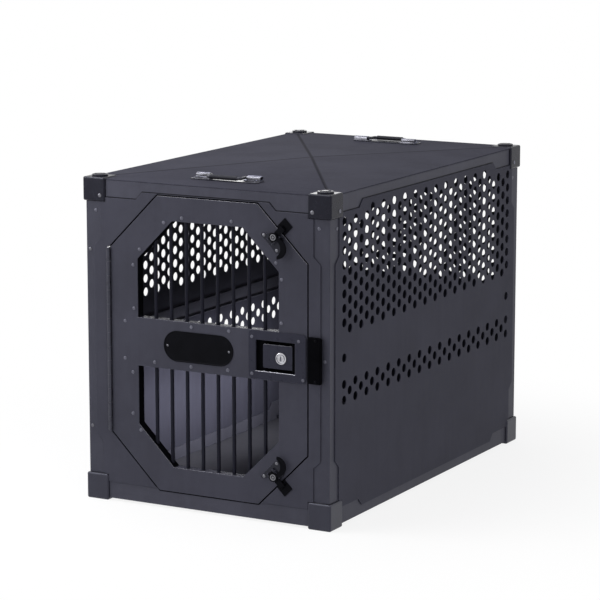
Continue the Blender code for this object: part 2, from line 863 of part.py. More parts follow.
def chamfer_frame(hub, upper):
    """The frame of one latch: its origin is the hub's centre on the door's face."""
    x, z = hub
    out = 1 if upper else -1
    u = Vector((1, 0, -out)).normalized()
    v = Vector((1, 0, out)).normalized()
    frame = Matrix.Identity(4)
    for column, axis in enumerate((u, v, -Y)):
        for row in range(3):
            frame[row][column] = axis[row]
    frame.translation = place(x, panel_inset, z)
    return frame


def local_plate(name, outline, w):
    """A plate between two heights w over the origin of a frame of its own."""
    return as_mesh(prism(name, outline, w[1] - w[0], (), PLAN, (0, 0, sum(w) / 2 * MM)))


def local_block(name, u, v, w):
    return local_plate(name, [(u[0], v[0]), (u[1], v[0]), (u[1], v[1]), (u[0], v[1])], w)


def seated(obj, frame):
    """Moves an object from the latch's own frame to its place, with its helpers."""
    for modifier in obj.modifiers:
        if modifier.type == "BOOLEAN":
            helper = modifier.object
            helper.matrix_world = frame @ helper.matrix_world
            if frame.determinant() < 0:
                flip(helper)
    obj.matrix_world = frame @ obj.matrix_world
    if frame.determinant() < 0:
        flip(obj)
    return obj


def flip(obj):
    """Takes a mirroring out of an object's matrix and puts it into its mesh."""
    obj.data.transform(obj.matrix_world)
    obj.data.flip_normals()
    obj.matrix_world = Matrix.Identity(4)


def butterfly(which, hub):
    """The base with two guides, the hook between them, the wing that drives it and its keeper."""
    frame = chamfer_frame(hub, which == "upper")
    base_u, base_v = butterfly_base
    rail_u = hook_width / 2 + gap
    base = local_plate(f"butterfly_base_{which}", rounded_rectangle(base_u, base_v, 5, 2),
                       (gap, gap + sheet))
    for side in (-1, 1):
        u = sorted((side * rail_u, side * (rail_u + guide_wall)))
        join(base, local_block("guide", u, guide_v, (sheet - 0.5, guide_top)))
    seated(base, frame)

    half = hook_width / 2
    hook = local_block(f"butterfly_hook_{which}", (-half, half), (-hook_tail, hook_reach), hook_w)
    nose = local_block("nose", (0.5 - half, half - 0.5), (hook_reach - 3, hook_reach - 0.2),
                       (keeper_w + gap, hook_w[0] + 1))
    seated(join(hook, nose), frame)

    proud = latch_stand + panel_inset
    wing = cylinder(f"butterfly_wing_{which}", hub_r, hub_w, proud, (0, 0, 0))
    lobe = [(0, -6), (14, -9), (30, -9.5), (39, -5), (41, 1), (36, 6), (22, 7.5), (0, 7)]
    seated(join(wing, local_plate("blade", lobe, blade_w)), frame)

    half = keeper_side / 2
    v = (keeper_start, keeper_start + keeper_side)
    keeper = local_block(f"butterfly_keeper_{which}", (-half, half), v, (gap, keeper_w))
    lip_v = (hook_reach - 6.3, hook_reach - 3.3)
    lip = local_block("keeper_lip", (2.5 - half, half - 2.5), lip_v,
                      (keeper_w - 0.6, hook_w[0] - gap))
    seated(join(keeper, lip), frame)
    return base, hook, wing, keeper


butterfly_hubs = {
    which: (door_x[1] - x, door_z[1] - z if which == "upper" else door_z[0] + z)
    for which, (x, z) in butterfly_hub_inset.items()
}
butterflies = {which: butterfly(which, hub) for which, hub in butterfly_hubs.items()}


# Folding handles on the roof

roof_slope = math.atan2(roof_rise, length / 2 - rail_inset)


def handle_frame(rear):
    """The frame of a handle: its origin is on the roof, y points to the kennel's middle."""
    d = handle_from_end
    z = roof_z + sheet + (d - rail_inset) * math.tan(roof_slope) + gap
    spot = place(width / 2, length - d if rear else d, z)
    turn = Matrix.Rotation(math.pi if rear else 0.0, 4, "Z")
    return Matrix.Translation(spot) @ turn @ Matrix.Rotation(roof_slope, 4, "X")


def handle(end):
    """A plate with two lugs, and the bail that folds up from between them."""
    frame = handle_frame(end == "rear")
    long, deep = handle_base
    outline = rounded_rectangle((-long / 2, long / 2), (-deep / 2, deep / 2), handle_base_round, 2)
    base = local_plate(f"handle_base_{end}", outline, (0, handle_plate))
    lug_v = (handle_axis_y - handle_lug_half, handle_axis_y + handle_lug_half)
    for side in (-1, 1):
        u = sorted((side * handle_lug_x[0], side * handle_lug_x[1]))
        join(base, local_block("lug", u, lug_v, (handle_plate - 0.8, handle_lug_top)))
    pivot = (0, handle_axis_y * MM, handle_axis_z * MM)
    cut(base, cylinder("pivot_bore", handle_rod_r + gap, -long, long, pivot, (1, 0, 0), 8))
    seated(base, frame)

    arm = handle_lug_x[0] - handle_rod_r - 1
    end_x = handle_lug_x[1] - 8
    grip_y = handle_axis_y - handle_throw
    path = [(-end_x, handle_axis_y), (-arm, handle_axis_y), (-arm, grip_y),
            (arm, grip_y), (arm, handle_axis_y), (end_x, handle_axis_y)]
    curve = bpy.data.curves.new(f"handle_bail_{end}", "CURVE")
    curve.dimensions = "3D"
    curve.bevel_depth = handle_rod_r * MM
    curve.bevel_resolution = 2
    curve.use_fill_caps = True
    spline = curve.splines.new("POLY")
    spline.points.add(len(path) - 1)
    for point, (x, y) in zip(spline.points, path):
        point.co = (x * MM, y * MM, handle_axis_z * MM, 1)
    bail = bpy.data.objects.new(f"handle_bail_{end}", curve)
    parts.objects.link(bail)
    bail = as_mesh(bail)
    grip_spot = (0, grip_y * MM, handle_axis_z * MM)
    grip = cylinder("grip", handle_grip_r, 4 - arm, arm - 4, grip_spot, (1, 0, 0), 10)
    seated(join(bail, grip), frame)
    return base, bail, frame @ Vector(pivot)


handles = {end: handle(end) for end in ("front", "rear")}


# Moving pieces hang from empties on their joints' axes

def axis_empty(name, at, children, parent=None):
    empty = bpy.data.objects.new(name, None)
    parts.objects.link(empty)
    empty.location = at
    bpy.context.view_layer.update()
    for child in children:
        child.parent = empty
        child.matrix_parent_inverse = Matrix.Translation(at).inverted()
    if parent:
        empty.parent = parent
        empty.matrix_parent_inverse = parent.matrix_world.inverted()
    bpy.context.view_layer.update()
    return empty


door_pieces = [skin, *frames, *bars, leaf_door, housing]
door_pieces += [butterflies[which][0] for which in butterflies]
door_axis = axis_empty("door_axis", place(hinge_x, 0, 0), door_pieces)
paddle_axis = axis_empty("paddle_axis", place(*paddle_pivot, key_z), [paddle], door_axis)
axis_empty("key_axis", place(key_x, 0, key_z), [plug], paddle_axis)
axis_empty("bolt_slide", place(bolt_x[0], sum(bolt_d) / 2, sum(bolt_z) / 2), [bolt], door_axis)
for which, (x, z) in butterfly_hubs.items():
    hub_point = place(x, panel_inset, z)
    axis_empty(f"wing_axis_{which}", hub_point, [butterflies[which][2]], door_axis)
    axis_empty(f"hook_slide_{which}", hub_point, [butterflies[which][1]], door_axis)
for end, (base, bail, axis) in handles.items():
    axis_empty(f"handle_axis_{end}", axis, [bail])


# Materials: powder-coated aluminium, dark castings, black plastic and bright steel

finishes = {
    "casting": ((0.022, 0.022, 0.027), 0.45, 0.5),
    "post": ((0.030, 0.030, 0.036), 0.42, 0.6),
    "rail": ((0.030, 0.030, 0.036), 0.42, 0.6),
    "belt": ((0.030, 0.030, 0.036), 0.42, 0.6),
    "hinge": ((0.020, 0.020, 0.024), 0.40, 0.7),
    "latch": ((0.028, 0.028, 0.033), 0.40, 0.5),
    "key": ((0.700, 0.700, 0.710), 0.20, 1.0),
    "strike": ((0.004, 0.004, 0.005), 0.50, 0.0),
    "butterfly_wing": ((0.600, 0.600, 0.620), 0.25, 1.0),
    "butterfly": ((0.008, 0.008, 0.010), 0.40, 0.3),
    "handle_base": ((0.550, 0.550, 0.570), 0.30, 1.0),
    "handle_bail": ((0.020, 0.020, 0.022), 0.50, 0.2),
}
sheet_finish = ((0.036, 0.036, 0.044), 0.45, 0.5)


def finish(obj):
    """A material of its own for each piece, with the colour of what it is made of."""
    kinds = [kind for kind in finishes if obj.name.startswith(kind)]
    colour, roughness, metallic = finishes[max(kinds, key=len)] if kinds else sheet_finish
    material = bpy.data.materials.new(obj.name)
    material.use_nodes = True
    shader = material.node_tree.nodes["Principled BSDF"]
    shader.inputs["Base Color"].default_value = (*colour, 1.0)
    shader.inputs["Roughness"].default_value = roughness
    shader.inputs["Metallic"].default_value = metallic
    obj.data.materials.clear()
    obj.data.materials.append(material)


for piece in parts.objects:
    if piece.type in ("MESH", "CURVE"):
        finish(piece)
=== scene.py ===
# %% [markdown]
# # Aluminium dog kennel
# A heavy travel kennel is a frame of bent angle rails that are held in eight cast corners. Sheet
# panels are riveted over it: plain in front, perforated at the sides and the rear, and creased on
# the roof. The measured CAD model gives every rigid piece its size and place. This notebook adds
# what a camera sees: broken edges, round holes, rivets, and the powder coat.

import json
import math

import bmesh
import bpy
from mathutils import Matrix, Vector

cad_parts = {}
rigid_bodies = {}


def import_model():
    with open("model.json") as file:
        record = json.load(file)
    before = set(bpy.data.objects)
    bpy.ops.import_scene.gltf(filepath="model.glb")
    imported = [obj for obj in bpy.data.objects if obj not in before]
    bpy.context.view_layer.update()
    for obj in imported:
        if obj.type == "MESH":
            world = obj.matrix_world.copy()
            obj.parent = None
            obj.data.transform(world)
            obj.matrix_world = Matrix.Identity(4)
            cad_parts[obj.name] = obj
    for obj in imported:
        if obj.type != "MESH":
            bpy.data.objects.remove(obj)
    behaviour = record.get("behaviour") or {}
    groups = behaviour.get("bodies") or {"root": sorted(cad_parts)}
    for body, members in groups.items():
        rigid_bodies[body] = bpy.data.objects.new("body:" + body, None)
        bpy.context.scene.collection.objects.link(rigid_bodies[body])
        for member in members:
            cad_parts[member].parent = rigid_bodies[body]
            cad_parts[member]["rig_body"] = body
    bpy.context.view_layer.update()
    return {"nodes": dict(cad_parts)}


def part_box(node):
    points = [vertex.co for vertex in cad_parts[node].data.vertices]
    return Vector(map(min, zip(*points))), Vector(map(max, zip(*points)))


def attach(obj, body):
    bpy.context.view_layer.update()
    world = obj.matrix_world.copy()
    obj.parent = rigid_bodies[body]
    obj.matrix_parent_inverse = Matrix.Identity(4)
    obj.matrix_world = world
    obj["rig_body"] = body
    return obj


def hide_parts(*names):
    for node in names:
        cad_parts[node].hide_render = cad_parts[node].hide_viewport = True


for leftover in list(bpy.data.objects):
    bpy.data.objects.remove(leftover)
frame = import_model()
nodes = frame["nodes"]

# %% [markdown]
# All places below are in millimetres: x from the left side, d behind the front of the cast
# corners, z above the floor. One function turns them into Blender's metres, so that every number
# can be compared with a ruler on the real kennel. The CAD's origin lies 452.5 mm behind the front,
# which is not quite the middle of the length.

# %% Places in millimetres
MM = 0.001
WIDTH, LENGTH, HEIGHT = 584.0, 914.0, 686.0
HALF_WIDTH = WIDTH / 2
FRONT = 452.5
MIDDLE_Y = LENGTH / 2 - FRONT
RAIL_D = 5.0
BODY_OF = {name: node["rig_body"] for name, node in nodes.items()}


def place(x, d, z):
    """A point of the kennel in Blender's metres."""
    return Vector((x - HALF_WIDTH, d - FRONT, z)) * MM


print("the middle of the door:", [round(v, 4) for v in place(297, 0, 347)])

# %% [markdown]
# ## Tools of the bench
# Everything is modelled as by hand: a primitive or a copied sheet is opened in edit mode, some of
# its faces or edges are selected by their place, and an operator works on them. These helpers
# select one piece, open it, and apply a modifier.

# %% Select, open and modify
def added(name, data):
    """A new object of the scene."""
    made = bpy.data.objects.new(name, data)
    bpy.context.scene.collection.objects.link(made)
    return made


def take(piece):
    """Makes one piece the only selected and active one."""
    bpy.ops.object.select_all(action="DESELECT")
    piece.select_set(True)
    bpy.context.view_layer.objects.active = piece


def pick(piece, test, kind="FACE"):
    """Opens a piece in edit mode, with the faces or edges selected that pass the test."""
    take(piece)
    bpy.ops.object.mode_set(mode="EDIT")
    bpy.ops.mesh.select_mode(type=kind)
    bpy.ops.mesh.select_all(action="DESELECT")
    close()
    mesh = piece.data
    if kind == "FACE":
        for face in mesh.polygons:
            face.select = test(face.center, face.normal)
    else:
        for edge in mesh.edges:
            start, end = (mesh.vertices[k].co for k in edge.vertices)
            edge.select = test((start + end) / 2, (end - start).normalized())
    bpy.ops.object.mode_set(mode="EDIT")


def close():
    """Leaves edit mode."""
    bpy.ops.object.mode_set(mode="OBJECT")


def modify(piece, kind, **settings):
    """Adds a modifier with its settings and applies it."""
    modifier = piece.modifiers.new(kind.title(), kind)
    for name, value in settings.items():
        setattr(modifier, name, value)
    take(piece)
    bpy.ops.object.modifier_apply(modifier=modifier.name)


def break_edges(piece, width, segments=2, angle=35):
    """Bevels every edge that is sharper than an angle, by a width in millimetres."""
    modify(piece, "BEVEL", width=width * MM, segments=segments, limit_method="ANGLE",
           angle_limit=math.radians(angle))


def bevel_where(piece, test, width, segments=1):
    """Bevels the edges that pass a test, by a width in millimetres."""
    pick(piece, test, "EDGE")
    bpy.ops.mesh.bevel(offset=width * MM, segments=segments, affect="EDGES")
    close()


def smooth(piece, angle=35):
    """Smooth shading that keeps corners crisp and flat faces flat."""
    take(piece)
    bpy.ops.object.shade_smooth_by_angle(angle=math.radians(angle))
    modify(piece, "WEIGHTED_NORMAL", keep_sharp=True)


# %% [markdown]
# A plain sheet or angle of the CAD has the right shape, and only its edges are too sharp. A copy
# of its mesh is welded, its triangles are dissolved into clean faces, and its edges are broken by
# a bevel, as tumbling and thick powder paint do on the real parts. Some faces are picked and
# painted once more: a painted highlight on edges that face the light, and a painted shade where
# faces lie in shadow, such as the inside of a cup.

# %% Copy a CAD node and break its edges
def clean_faces():
    """Dissolves what lies between faces of one plane, in a piece that is open in edit mode."""
    bpy.ops.mesh.select_all(action="SELECT")
    bpy.ops.mesh.dissolve_limited(angle_limit=math.radians(0.5))


def welded(node, clean=True):
    """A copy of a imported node, welded, and as clean faces instead of triangles."""
    piece = added(f"{node}_dressed", nodes[node].data.copy())
    take(piece)
    bpy.ops.mesh.customdata_custom_splitnormals_clear()
    bpy.ops.object.mode_set(mode="EDIT")
    bpy.ops.mesh.select_all(action="SELECT")
    bpy.ops.mesh.remove_doubles(threshold=0.01 * MM)
    if clean:
        clean_faces()
    close()
    return piece


def paint_over(piece, finish):
    """Gives a piece one finish in place of its own materials."""
    piece.data.materials.clear()
    piece.data.materials.append(finish.material)


def settle(piece, body, finish, slot, *stands_for):
    """Gives a finished piece its place in its mesh, its finish, its body and its CAD nodes."""
    take(piece)
    bpy.ops.object.transform_apply(location=True, rotation=True, scale=True)
    paint_over(piece, finish)
    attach(piece, body)
    if stands_for:
        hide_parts(*stands_for)


def repaint(piece, finish, test):
    """Gives the faces that pass a test a second finish."""
    piece.data.materials.append(finish.material)
    pick(piece, test)
    piece.active_material_index = len(piece.data.materials) - 1
    bpy.ops.object.material_slot_assign()
    close()


def dress(node, finish, slot, width, segments=2, round_shading=False):
    """A welded copy with broken edges in place of the CAD node."""
    piece = welded(node)
    break_edges(piece, width, segments)
    if round_shading:
        smooth(piece)
    settle(piece, BODY_OF[node], finish, slot, node)
    return piece


# %% [markdown]
# ## Finishes
# A finish is a material whose sums are written like arithmetic. The Value class wraps one socket
# and turns +, -, * and / into Math nodes. The Finish class holds the material and makes every
# other node through one method. The greys of this kennel are a little blue, also where they
# shine, so each finish tints its reflections.

# %% Sums on sockets
SHINE_TINT = (0.80, 0.82, 1.0, 1.0)


class Value:
    """A socket of a finish, on which sums are written as on a number."""

    def __init__(self, finish, socket):
        self.finish = finish
        self.socket = socket

    def _sum(self, operation, first, second):
        return self.finish.node("ShaderNodeMath", {"operation": operation}, {0: first, 1: second})

    def __add__(self, other):
        return self._sum("ADD", self, other)

    __radd__ = __add__

    def __sub__(self, other):
        return self._sum("SUBTRACT", self, other)

    def __rsub__(self, other):
        return self._sum("SUBTRACT", other, self)

    def __mul__(self, other):
        return self._sum("MULTIPLY", self, other)

    __rmul__ = __mul__

    def __truediv__(self, other):
        return self._sum("DIVIDE", self, other)

    def __abs__(self):
        return self._sum("ABSOLUTE", self, 0.0)


class Finish:
    """A material that is built from small expressions."""

    def __init__(self, name, **constants):
        self.material = bpy.data.materials.new(name)
        self.material.use_nodes = True
        self.tree = self.material.node_tree
        self.shader = self.tree.nodes["Principled BSDF"]
        self.shader.inputs["Specular Tint"].default_value = SHINE_TINT
        for socket, value in constants.items():
            self.shader.inputs[socket.replace("_", " ")].default_value = value

    def node(self, kind, settings, inputs, output=0):
        """Makes a node, sets it, feeds its sockets and returns one of its outputs."""
        made = self.tree.nodes.new(kind)
        for name, value in settings.items():
            setattr(made, name, value)
        for key, value in inputs.items():
            self.feed(made.inputs[key], value)
        return Value(self, made.outputs[output])

    def feed(self, socket, value):
        """Links a sum to a socket, or sets the socket to a plain number."""
        if isinstance(value, Value):
            self.tree.links.new(value.socket, socket)
        else:
            socket.default_value = value

    def here(self):
        """Object coordinates: they are metres on the kennel, so a pattern has a real size."""
        return self.node("ShaderNodeTexCoord", {}, {}, "Object")

    def coordinate(self, axis):
        """One of the object coordinates."""
        return self.node("ShaderNodeSeparateXYZ", {}, {0: self.here()}, axis)

    def stretched(self, scale):
        """Object coordinates that make a pattern longer where the scale is under 1."""
        return self.node("ShaderNodeMapping", {}, {"Vector": self.here(), "Scale": scale})

    def noise(self, size, detail, at=None, roughness=0.5):
        """Noise from 0 to 1 whose patches are about `size` millimetres wide."""
        inputs = {"Vector": at or self.here(), "Scale": 1 / (size * MM), "Detail": detail,
                  "Roughness": roughness}
        return self.node("ShaderNodeTexNoise", {}, inputs)

    def ramp(self, value, low, high, start=0.0, end=1.0):
        """A smooth step from start to end while the value goes from low to high."""
        return self.node("ShaderNodeMapRange", {"interpolation_type": "SMOOTHSTEP"},
                         {0: value, 1: low, 2: high, 3: start, 4: end})

    def blend(self, mask, first, second):
        """A colour between two others. A Mix node keeps the hue, which a Math node would not."""
        colours = {6: first if isinstance(first, Value) else (*first, 1.0),
                   7: second if isinstance(second, Value) else (*second, 1.0)}
        return self.node("ShaderNodeMix", {"data_type": "RGBA"}, {0: mask, **colours}, 2)

    def worn_edge(self, radius):
        """1 on a sharp edge and 0 on a flat: how far a rounded normal leaves the real one."""
        rounded = self.node("ShaderNodeBevel", {"samples": 4}, {"Radius": radius * MM})
        real = self.node("ShaderNodeNewGeometry", {}, {}, "Normal")
        match = self.node("ShaderNodeVectorMath", {"operation": "DOT_PRODUCT"},
                          {0: rounded, 1: real}, "Value")
        return self.ramp(match, 0.985, 0.80)

    def finish_with(self, colour, roughness, height, depth, strength):
        """Feeds the shader's varying sockets. The relief is `depth` millimetres high."""
        bump = self.node("ShaderNodeBump", {}, {"Strength": strength, "Distance": depth * MM,
                                                "Height": height})
        for name, value in (("Base Color", colour), ("Roughness", roughness), ("Normal", bump)):
            self.feed(self.shader.inputs[name], value)
        return self


def lighter(colour, factor):
    """A colour that is brighter by a factor, or darker where the factor is under 1."""
    return tuple(min(part * factor, 1.0) for part in colour)


# %% [markdown]
# Powder coat is baked plastic: satin, with a fine grain like orange peel, soft cloudy patches
# where the gun laid more or less powder, and a paler, smoother line where edges are rubbed. A coat
# can also get a mask of painted shade, which darkens it where a fold or a lap lies in shadow.

# %% Powder coat
def powder_coat(name, colour, roughness, grain=1.1, wear=0.5, specular=0.5, darker=None,
                depth=0.35, shine=4.0):
    """A coat with grain in millimetres, worn edges `shine` times lighter, and a painted shade mask.
    """
    coat = Finish(name, Specular_IOR_Level=specular)
    cloud = coat.noise(120, 3)
    drift = coat.noise(18, 4)
    peel = coat.noise(grain, 2)
    rubbed = coat.noise(9, 5, roughness=0.7)
    edge = coat.worn_edge(1.2) * coat.ramp(rubbed, 0.42, 0.62) * wear
    streak = coat.noise(14, 3, coat.stretched((1.0, 1.0, 0.12)))
    tone = 0.55 * cloud + 0.25 * drift + 0.2 * streak
    base = coat.blend(coat.ramp(tone, 0.36, 0.64), lighter(colour, 0.89), lighter(colour, 1.10))
    speckled = coat.blend(coat.ramp(peel, 0.60, 0.74) * 0.35, base, lighter(colour, 1.9))
    if darker:
        dark = darker(coat)
        speckled = coat.blend(dark, speckled, lighter(colour, depth))
        edge = edge * (1 - dark)
    # Worn edges over the coat and its painted shade. At a high `shine` the edges are also a painted
    # highlight.
    worn = coat.blend(edge, speckled, lighter(colour, shine))
    rough = roughness + 0.16 * (drift - 0.5) + 0.10 * (peel - 0.5) - 0.08 * edge
    return coat.finish_with(worn, rough, peel + 0.35 * drift, 0.12, 0.28)


RAIL_GREY = (0.047, 0.047, 0.062)
SATIN_BLACK = (0.007, 0.007, 0.010)
panel_paint = powder_coat("panel_powder_coat", (0.037, 0.037, 0.050), 0.55, specular=0.16)
lip_paint = powder_coat("window_powder_coat", (0.034, 0.034, 0.046), 0.18, 4.0, 0.0, 0.4)
side_paint = powder_coat("side_powder_coat", (0.032, 0.032, 0.045), 0.62, specular=0.11)
frame_paint = powder_coat("frame_powder_coat", RAIL_GREY, 0.52, specular=0.16)
post_paint = powder_coat("post_powder_coat", (0.038, 0.038, 0.051), 0.50, specular=0.2)
# The floor pan is twice as pale as the panels: a painted light for the shaded cabin floor.
pan_paint = powder_coat("pan_powder_coat", (0.075, 0.075, 0.090), 0.60, specular=0.1)
casting_paint = powder_coat("casting_powder_coat", (0.011, 0.011, 0.016), 0.26, 1.8, 0.8, 0.15)
foot_paint = powder_coat("foot_powder_coat", (0.026, 0.026, 0.036), 0.34, 1.8, 0.6, 0.3)
# Near black: the door bars' own coat, and a painted shade on the rear sheet's inner face.
bar_and_shade_paint = powder_coat("bar_and_shade_powder_coat", (0.007, 0.007, 0.012), 0.42, 0.9, 0.2, 0.12)
latch_paint = powder_coat("latch_powder_coat", (0.018, 0.018, 0.028), 0.30, 0.9, 0.9, 0.2)
# Edges 22 times lighter than the satin black: wear, and a painted highlight on the rims of the
# butterfly bases and handle plates.
base_satin = powder_coat("butterfly_base_satin", SATIN_BLACK, 0.24, 0.9, 1.0, 0.3, shine=22)
rivet_paint = powder_coat("rivet_powder_coat", (0.075, 0.075, 0.095), 0.30, 0.9, 0.6)
hinge_paint = powder_coat("hinge_powder_coat", (0.024, 0.024, 0.032), 0.30, 0.9, 0.9)
# A pale coat for the door skin's edges that face the light: a painted highlight.
edge_highlight_paint = powder_coat("edge_highlight_powder_coat", (0.46, 0.46, 0.50), 0.36)
# Near black for faces that lie in shadow: a painted shade.
shade_black = powder_coat("shaded_powder_coat", (0.0012, 0.0012, 0.0018), 0.7, wear=0.0,
                          specular=0.03)
print("powder coats:", sum("powder" in made.name for made in bpy.data.materials), "and a satin one")

# %% [markdown]
# The bare metal of rivets, hinge pin, lock plug and handle clamps is polished or zinc plated. It is
# never even: turning and rubbing leave fine streaks, and a few dull spots. Black plastic and rubber
# have a fine grit, and edges that have gone grey.

# %% Bright metal, black plastic and rubber
def bright_metal(name, colour, roughness):
    """Polished or plated metal with streaks along y and dull spots."""
    metal = Finish(name, Metallic=1.0)
    dull = metal.noise(6, 4)
    streak = metal.noise(0.7, 3, metal.stretched((1.0, 0.1, 1.0)))
    tone = metal.ramp(0.6 * dull + 0.4 * streak, 0.35, 0.65)
    shade = metal.blend(tone, lighter(colour, 0.72), colour)
    return metal.finish_with(shade, roughness + 0.18 * (dull - 0.4), streak, 0.03, 0.15)


def moulded(name, colour, roughness, specular, grain=0.8):
    """Moulded plastic or rubber, with a grain in millimetres."""
    plastic = Finish(name, Specular_IOR_Level=specular)
    cloud = plastic.noise(25, 3)
    grit = plastic.noise(grain, 3)
    edge = plastic.worn_edge(1.0) * plastic.ramp(cloud, 0.45, 0.60) * 0.4
    tone = plastic.blend(plastic.ramp(cloud, 0.35, 0.65), lighter(colour, 0.75),
                         lighter(colour, 1.3))
    worn = plastic.blend(edge, tone, lighter(colour, 5.0))
    return plastic.finish_with(worn, roughness + 0.14 * (grit - 0.5), grit, 0.1, 0.35)


steel = bright_metal("bright_steel", (0.55, 0.55, 0.58), 0.20)
# Bright bare metal on the latch's faces that look up: a painted highlight.
lip_highlight_metal = bright_metal("latch_lip_highlight_metal", (0.34, 0.34, 0.38), 0.30)
hub_metal = bright_metal("hub_zinc", (0.20, 0.20, 0.22), 0.22)
rivet_metal = bright_metal("rivet_aluminium", (0.16, 0.16, 0.18), 0.30)
clamp_metal = bright_metal("clamp_metal", (0.14, 0.14, 0.16), 0.26)
guard_plastic = moulded("guard_black_plastic", (0.0009, 0.0009, 0.0013), 0.60, 0.02)
fitting_black = moulded("fitting_black", (0.0014, 0.0014, 0.0020), 0.45, 0.05)
rod_black = moulded("rod_black", (0.012, 0.012, 0.016), 0.28, 0.5)
grip_rubber = moulded("grip_rubber", (0.008, 0.008, 0.010), 0.60, 0.25)
# Near-black rubber for the strip behind the door gap: a painted shade.
gap_shade_black = moulded("gap_shade_black", (0.0010, 0.0010, 0.0014), 0.75, 0.02)
plate_black = moulded("nameplate_black", (0.0016, 0.0016, 0.0022), 0.40, 0.06, 1.5)
print("materials:", len(bpy.data.materials))

# %% [markdown]
# ## Rails, posts, plain panels
# These are bent or cut from sheet, so their CAD shapes are right. They get broken edges: a little
# more on the thick rails than on the 2 mm sheets. Where a panel laps over a top rail, a dark line
# of painted shade follows the panel's edge, for the shadow in the corner between them. The door
# skin's edges that face up and to the right get a painted highlight, and the window frames' faces
# that look sideways or down a near-black painted shade.

# %% Dress the frame and the plain sheets
LAP_BEND = (127.0, 142.0)
LAP_Z = (645.0, 661.0)
LINE_ABOVE = 0.8
LINE_FADE = (1.7, 0.9)


def lap_line(axis, middle, half):
    """Makes a mask of painted shade: 1 just above the upper edge of the panel on a rail, 0
    elsewhere.
    """
    def mask(coat):
        from_end = half - abs(coat.coordinate(axis) / MM - middle)
        edge = coat.node("ShaderNodeMapRange", {}, {0: from_end, 1: LAP_BEND[0], 2: LAP_BEND[1],
                                                    3: LAP_Z[0], 4: LAP_Z[1]})
        return coat.ramp(abs(coat.coordinate("Z") / MM - edge - LINE_ABOVE), *LINE_FADE)

    return mask


def lapped_paint(name, axis, middle, half):
    """The frame's coat with a dark line of painted shade that follows a panel's upper edge."""
    return powder_coat(name, RAIL_GREY, 0.52, specular=0.16,
                       darker=lap_line(axis, middle, half), depth=0.12)


# Both rail coats carry a dark line of painted shade just above the panels' upper edges.
across_paint = lapped_paint("rail_across_powder_coat", "X", 0.0, HALF_WIDTH)
along_paint = lapped_paint("rail_along_powder_coat", "Y", MIDDLE_Y, LENGTH / 2)
for node in nodes:
    if node.startswith("rail_top"):
        across = node.endswith(("front", "rear"))
        dress(node, across_paint if across else along_paint, "frame_coat", 0.7)
    elif node.startswith("rail_"):
        dress(node, frame_paint, "frame_coat", 0.7)
    elif node.startswith("post_"):
        dress(node, post_paint, "frame_coat", 1.4, 3)
    elif node in ("door_skin", "front_panel_left", "front_panel_right"):
        sheet = dress(node, panel_paint, "panel_coat", 1.0, 3)
        if node == "door_skin":
            # The skin's bevelled edges that face up and to the right get the painted highlight.
            repaint(sheet, edge_highlight_paint, lambda centre, normal: normal.y < -0.3
                    and normal.z > 0.25 and normal.x + normal.z > 0.6)
    elif node.startswith("window_frame"):
        surround = dress(node, lip_paint, "panel_coat", 0.5)
        # The window frames' faces that look sideways or down get a near-black painted shade.
        repaint(surround, shade_black,
                lambda centre, normal: abs(normal.y) < 0.5 and normal.z < 0.85)

# %% [markdown]
# The floor pan and the two belt rails lie inside. Their CAD shape is all that shows through the
# windows, so they stay as they are and only take the coat. The floor pan's coat is twice as pale
# as the panels': a painted light for the floor of the shaded cabin.

# %% Coat the inner sheets
for node in ("floor_pan", "belt_rail_left", "belt_rail_right"):
    paint_over(nodes[node], pan_paint if node == "floor_pan" else frame_paint)

# %% [markdown]
# New pieces start from two primitives, a block and a round bar, which are added at their size and
# place. Caps are then turned into rings by inset after inset, as a lathe would do, and a shape
# that repeats is modelled once and copied.

# %% Start, turn and copy
TOWARDS = {
    "front": Vector((0, -1, 0)),
    "rear": Vector((0, 1, 0)),
    "left": Vector((-1, 0, 0)),
    "right": Vector((1, 0, 0)),
    "up": Vector((0, 0, 1)),
    "down": Vector((0, 0, -1)),
}


def named(name):
    """The primitive that was just added, with its size and place put into its mesh."""
    piece = bpy.context.object
    piece.name = name
    bpy.ops.object.transform_apply(location=True, rotation=True, scale=True)
    return piece


def block(name, x, y, z, local=False):
    """A block between two x, two y and two z, on the kennel or in a frame of its own."""
    middle = (sum(x) / 2, sum(y) / 2, sum(z) / 2)
    at = Vector(middle) * MM if local else place(*middle)
    bpy.ops.mesh.primitive_cube_add(size=1, location=at)
    bpy.context.object.scale = Vector((x[1] - x[0], y[1] - y[0], z[1] - z[0])) * MM
    return named(name)


def round_bar(name, r, length, middle, axis, sides=32):
    """A round bar about a middle in metres, along an axis. Radius and length are millimetres."""
    turn = Vector((0, 0, 1)).rotation_difference(axis).to_euler()
    bpy.ops.mesh.primitive_cylinder_add(vertices=sides, radius=r * MM, depth=length * MM,
                                        location=middle, rotation=turn)
    return named(name)


def crown(piece, axis, rings):
    """Turns rings into the cap that faces an axis. Each is a step inwards and a step upwards."""
    tip = max(vertex.co.dot(axis) for vertex in piece.data.vertices) - 0.01 * MM
    pick(piece, lambda centre, normal: normal.dot(axis) > 0.99 and centre.dot(axis) > tip)
    for inwards, upwards in rings:
        bpy.ops.mesh.inset(thickness=inwards * MM, depth=upwards * MM)
    close()


def copies(first, places):
    """One mesh with a copy of the first piece at each place; the first one itself is used up."""
    work = bmesh.new()
    for spot in places:
        mesh = first.data.copy()
        mesh.transform(spot)
        if spot.determinant() < 0:
            mesh.flip_normals()
        work.from_mesh(mesh)
        bpy.data.meshes.remove(mesh)
    work.to_mesh(first.data)
    work.free()
    return first


def twin(piece, spot):
    """A second piece with a mesh of its own, at another place."""
    return copies(added(piece.name, piece.data.copy()), [spot])


def combine(piece, other, operation):
    """A Boolean with another piece, which is used up."""
    modify(piece, "BOOLEAN", operation=operation, object=other, solver="MANIFOLD")
    bpy.data.objects.remove(other)


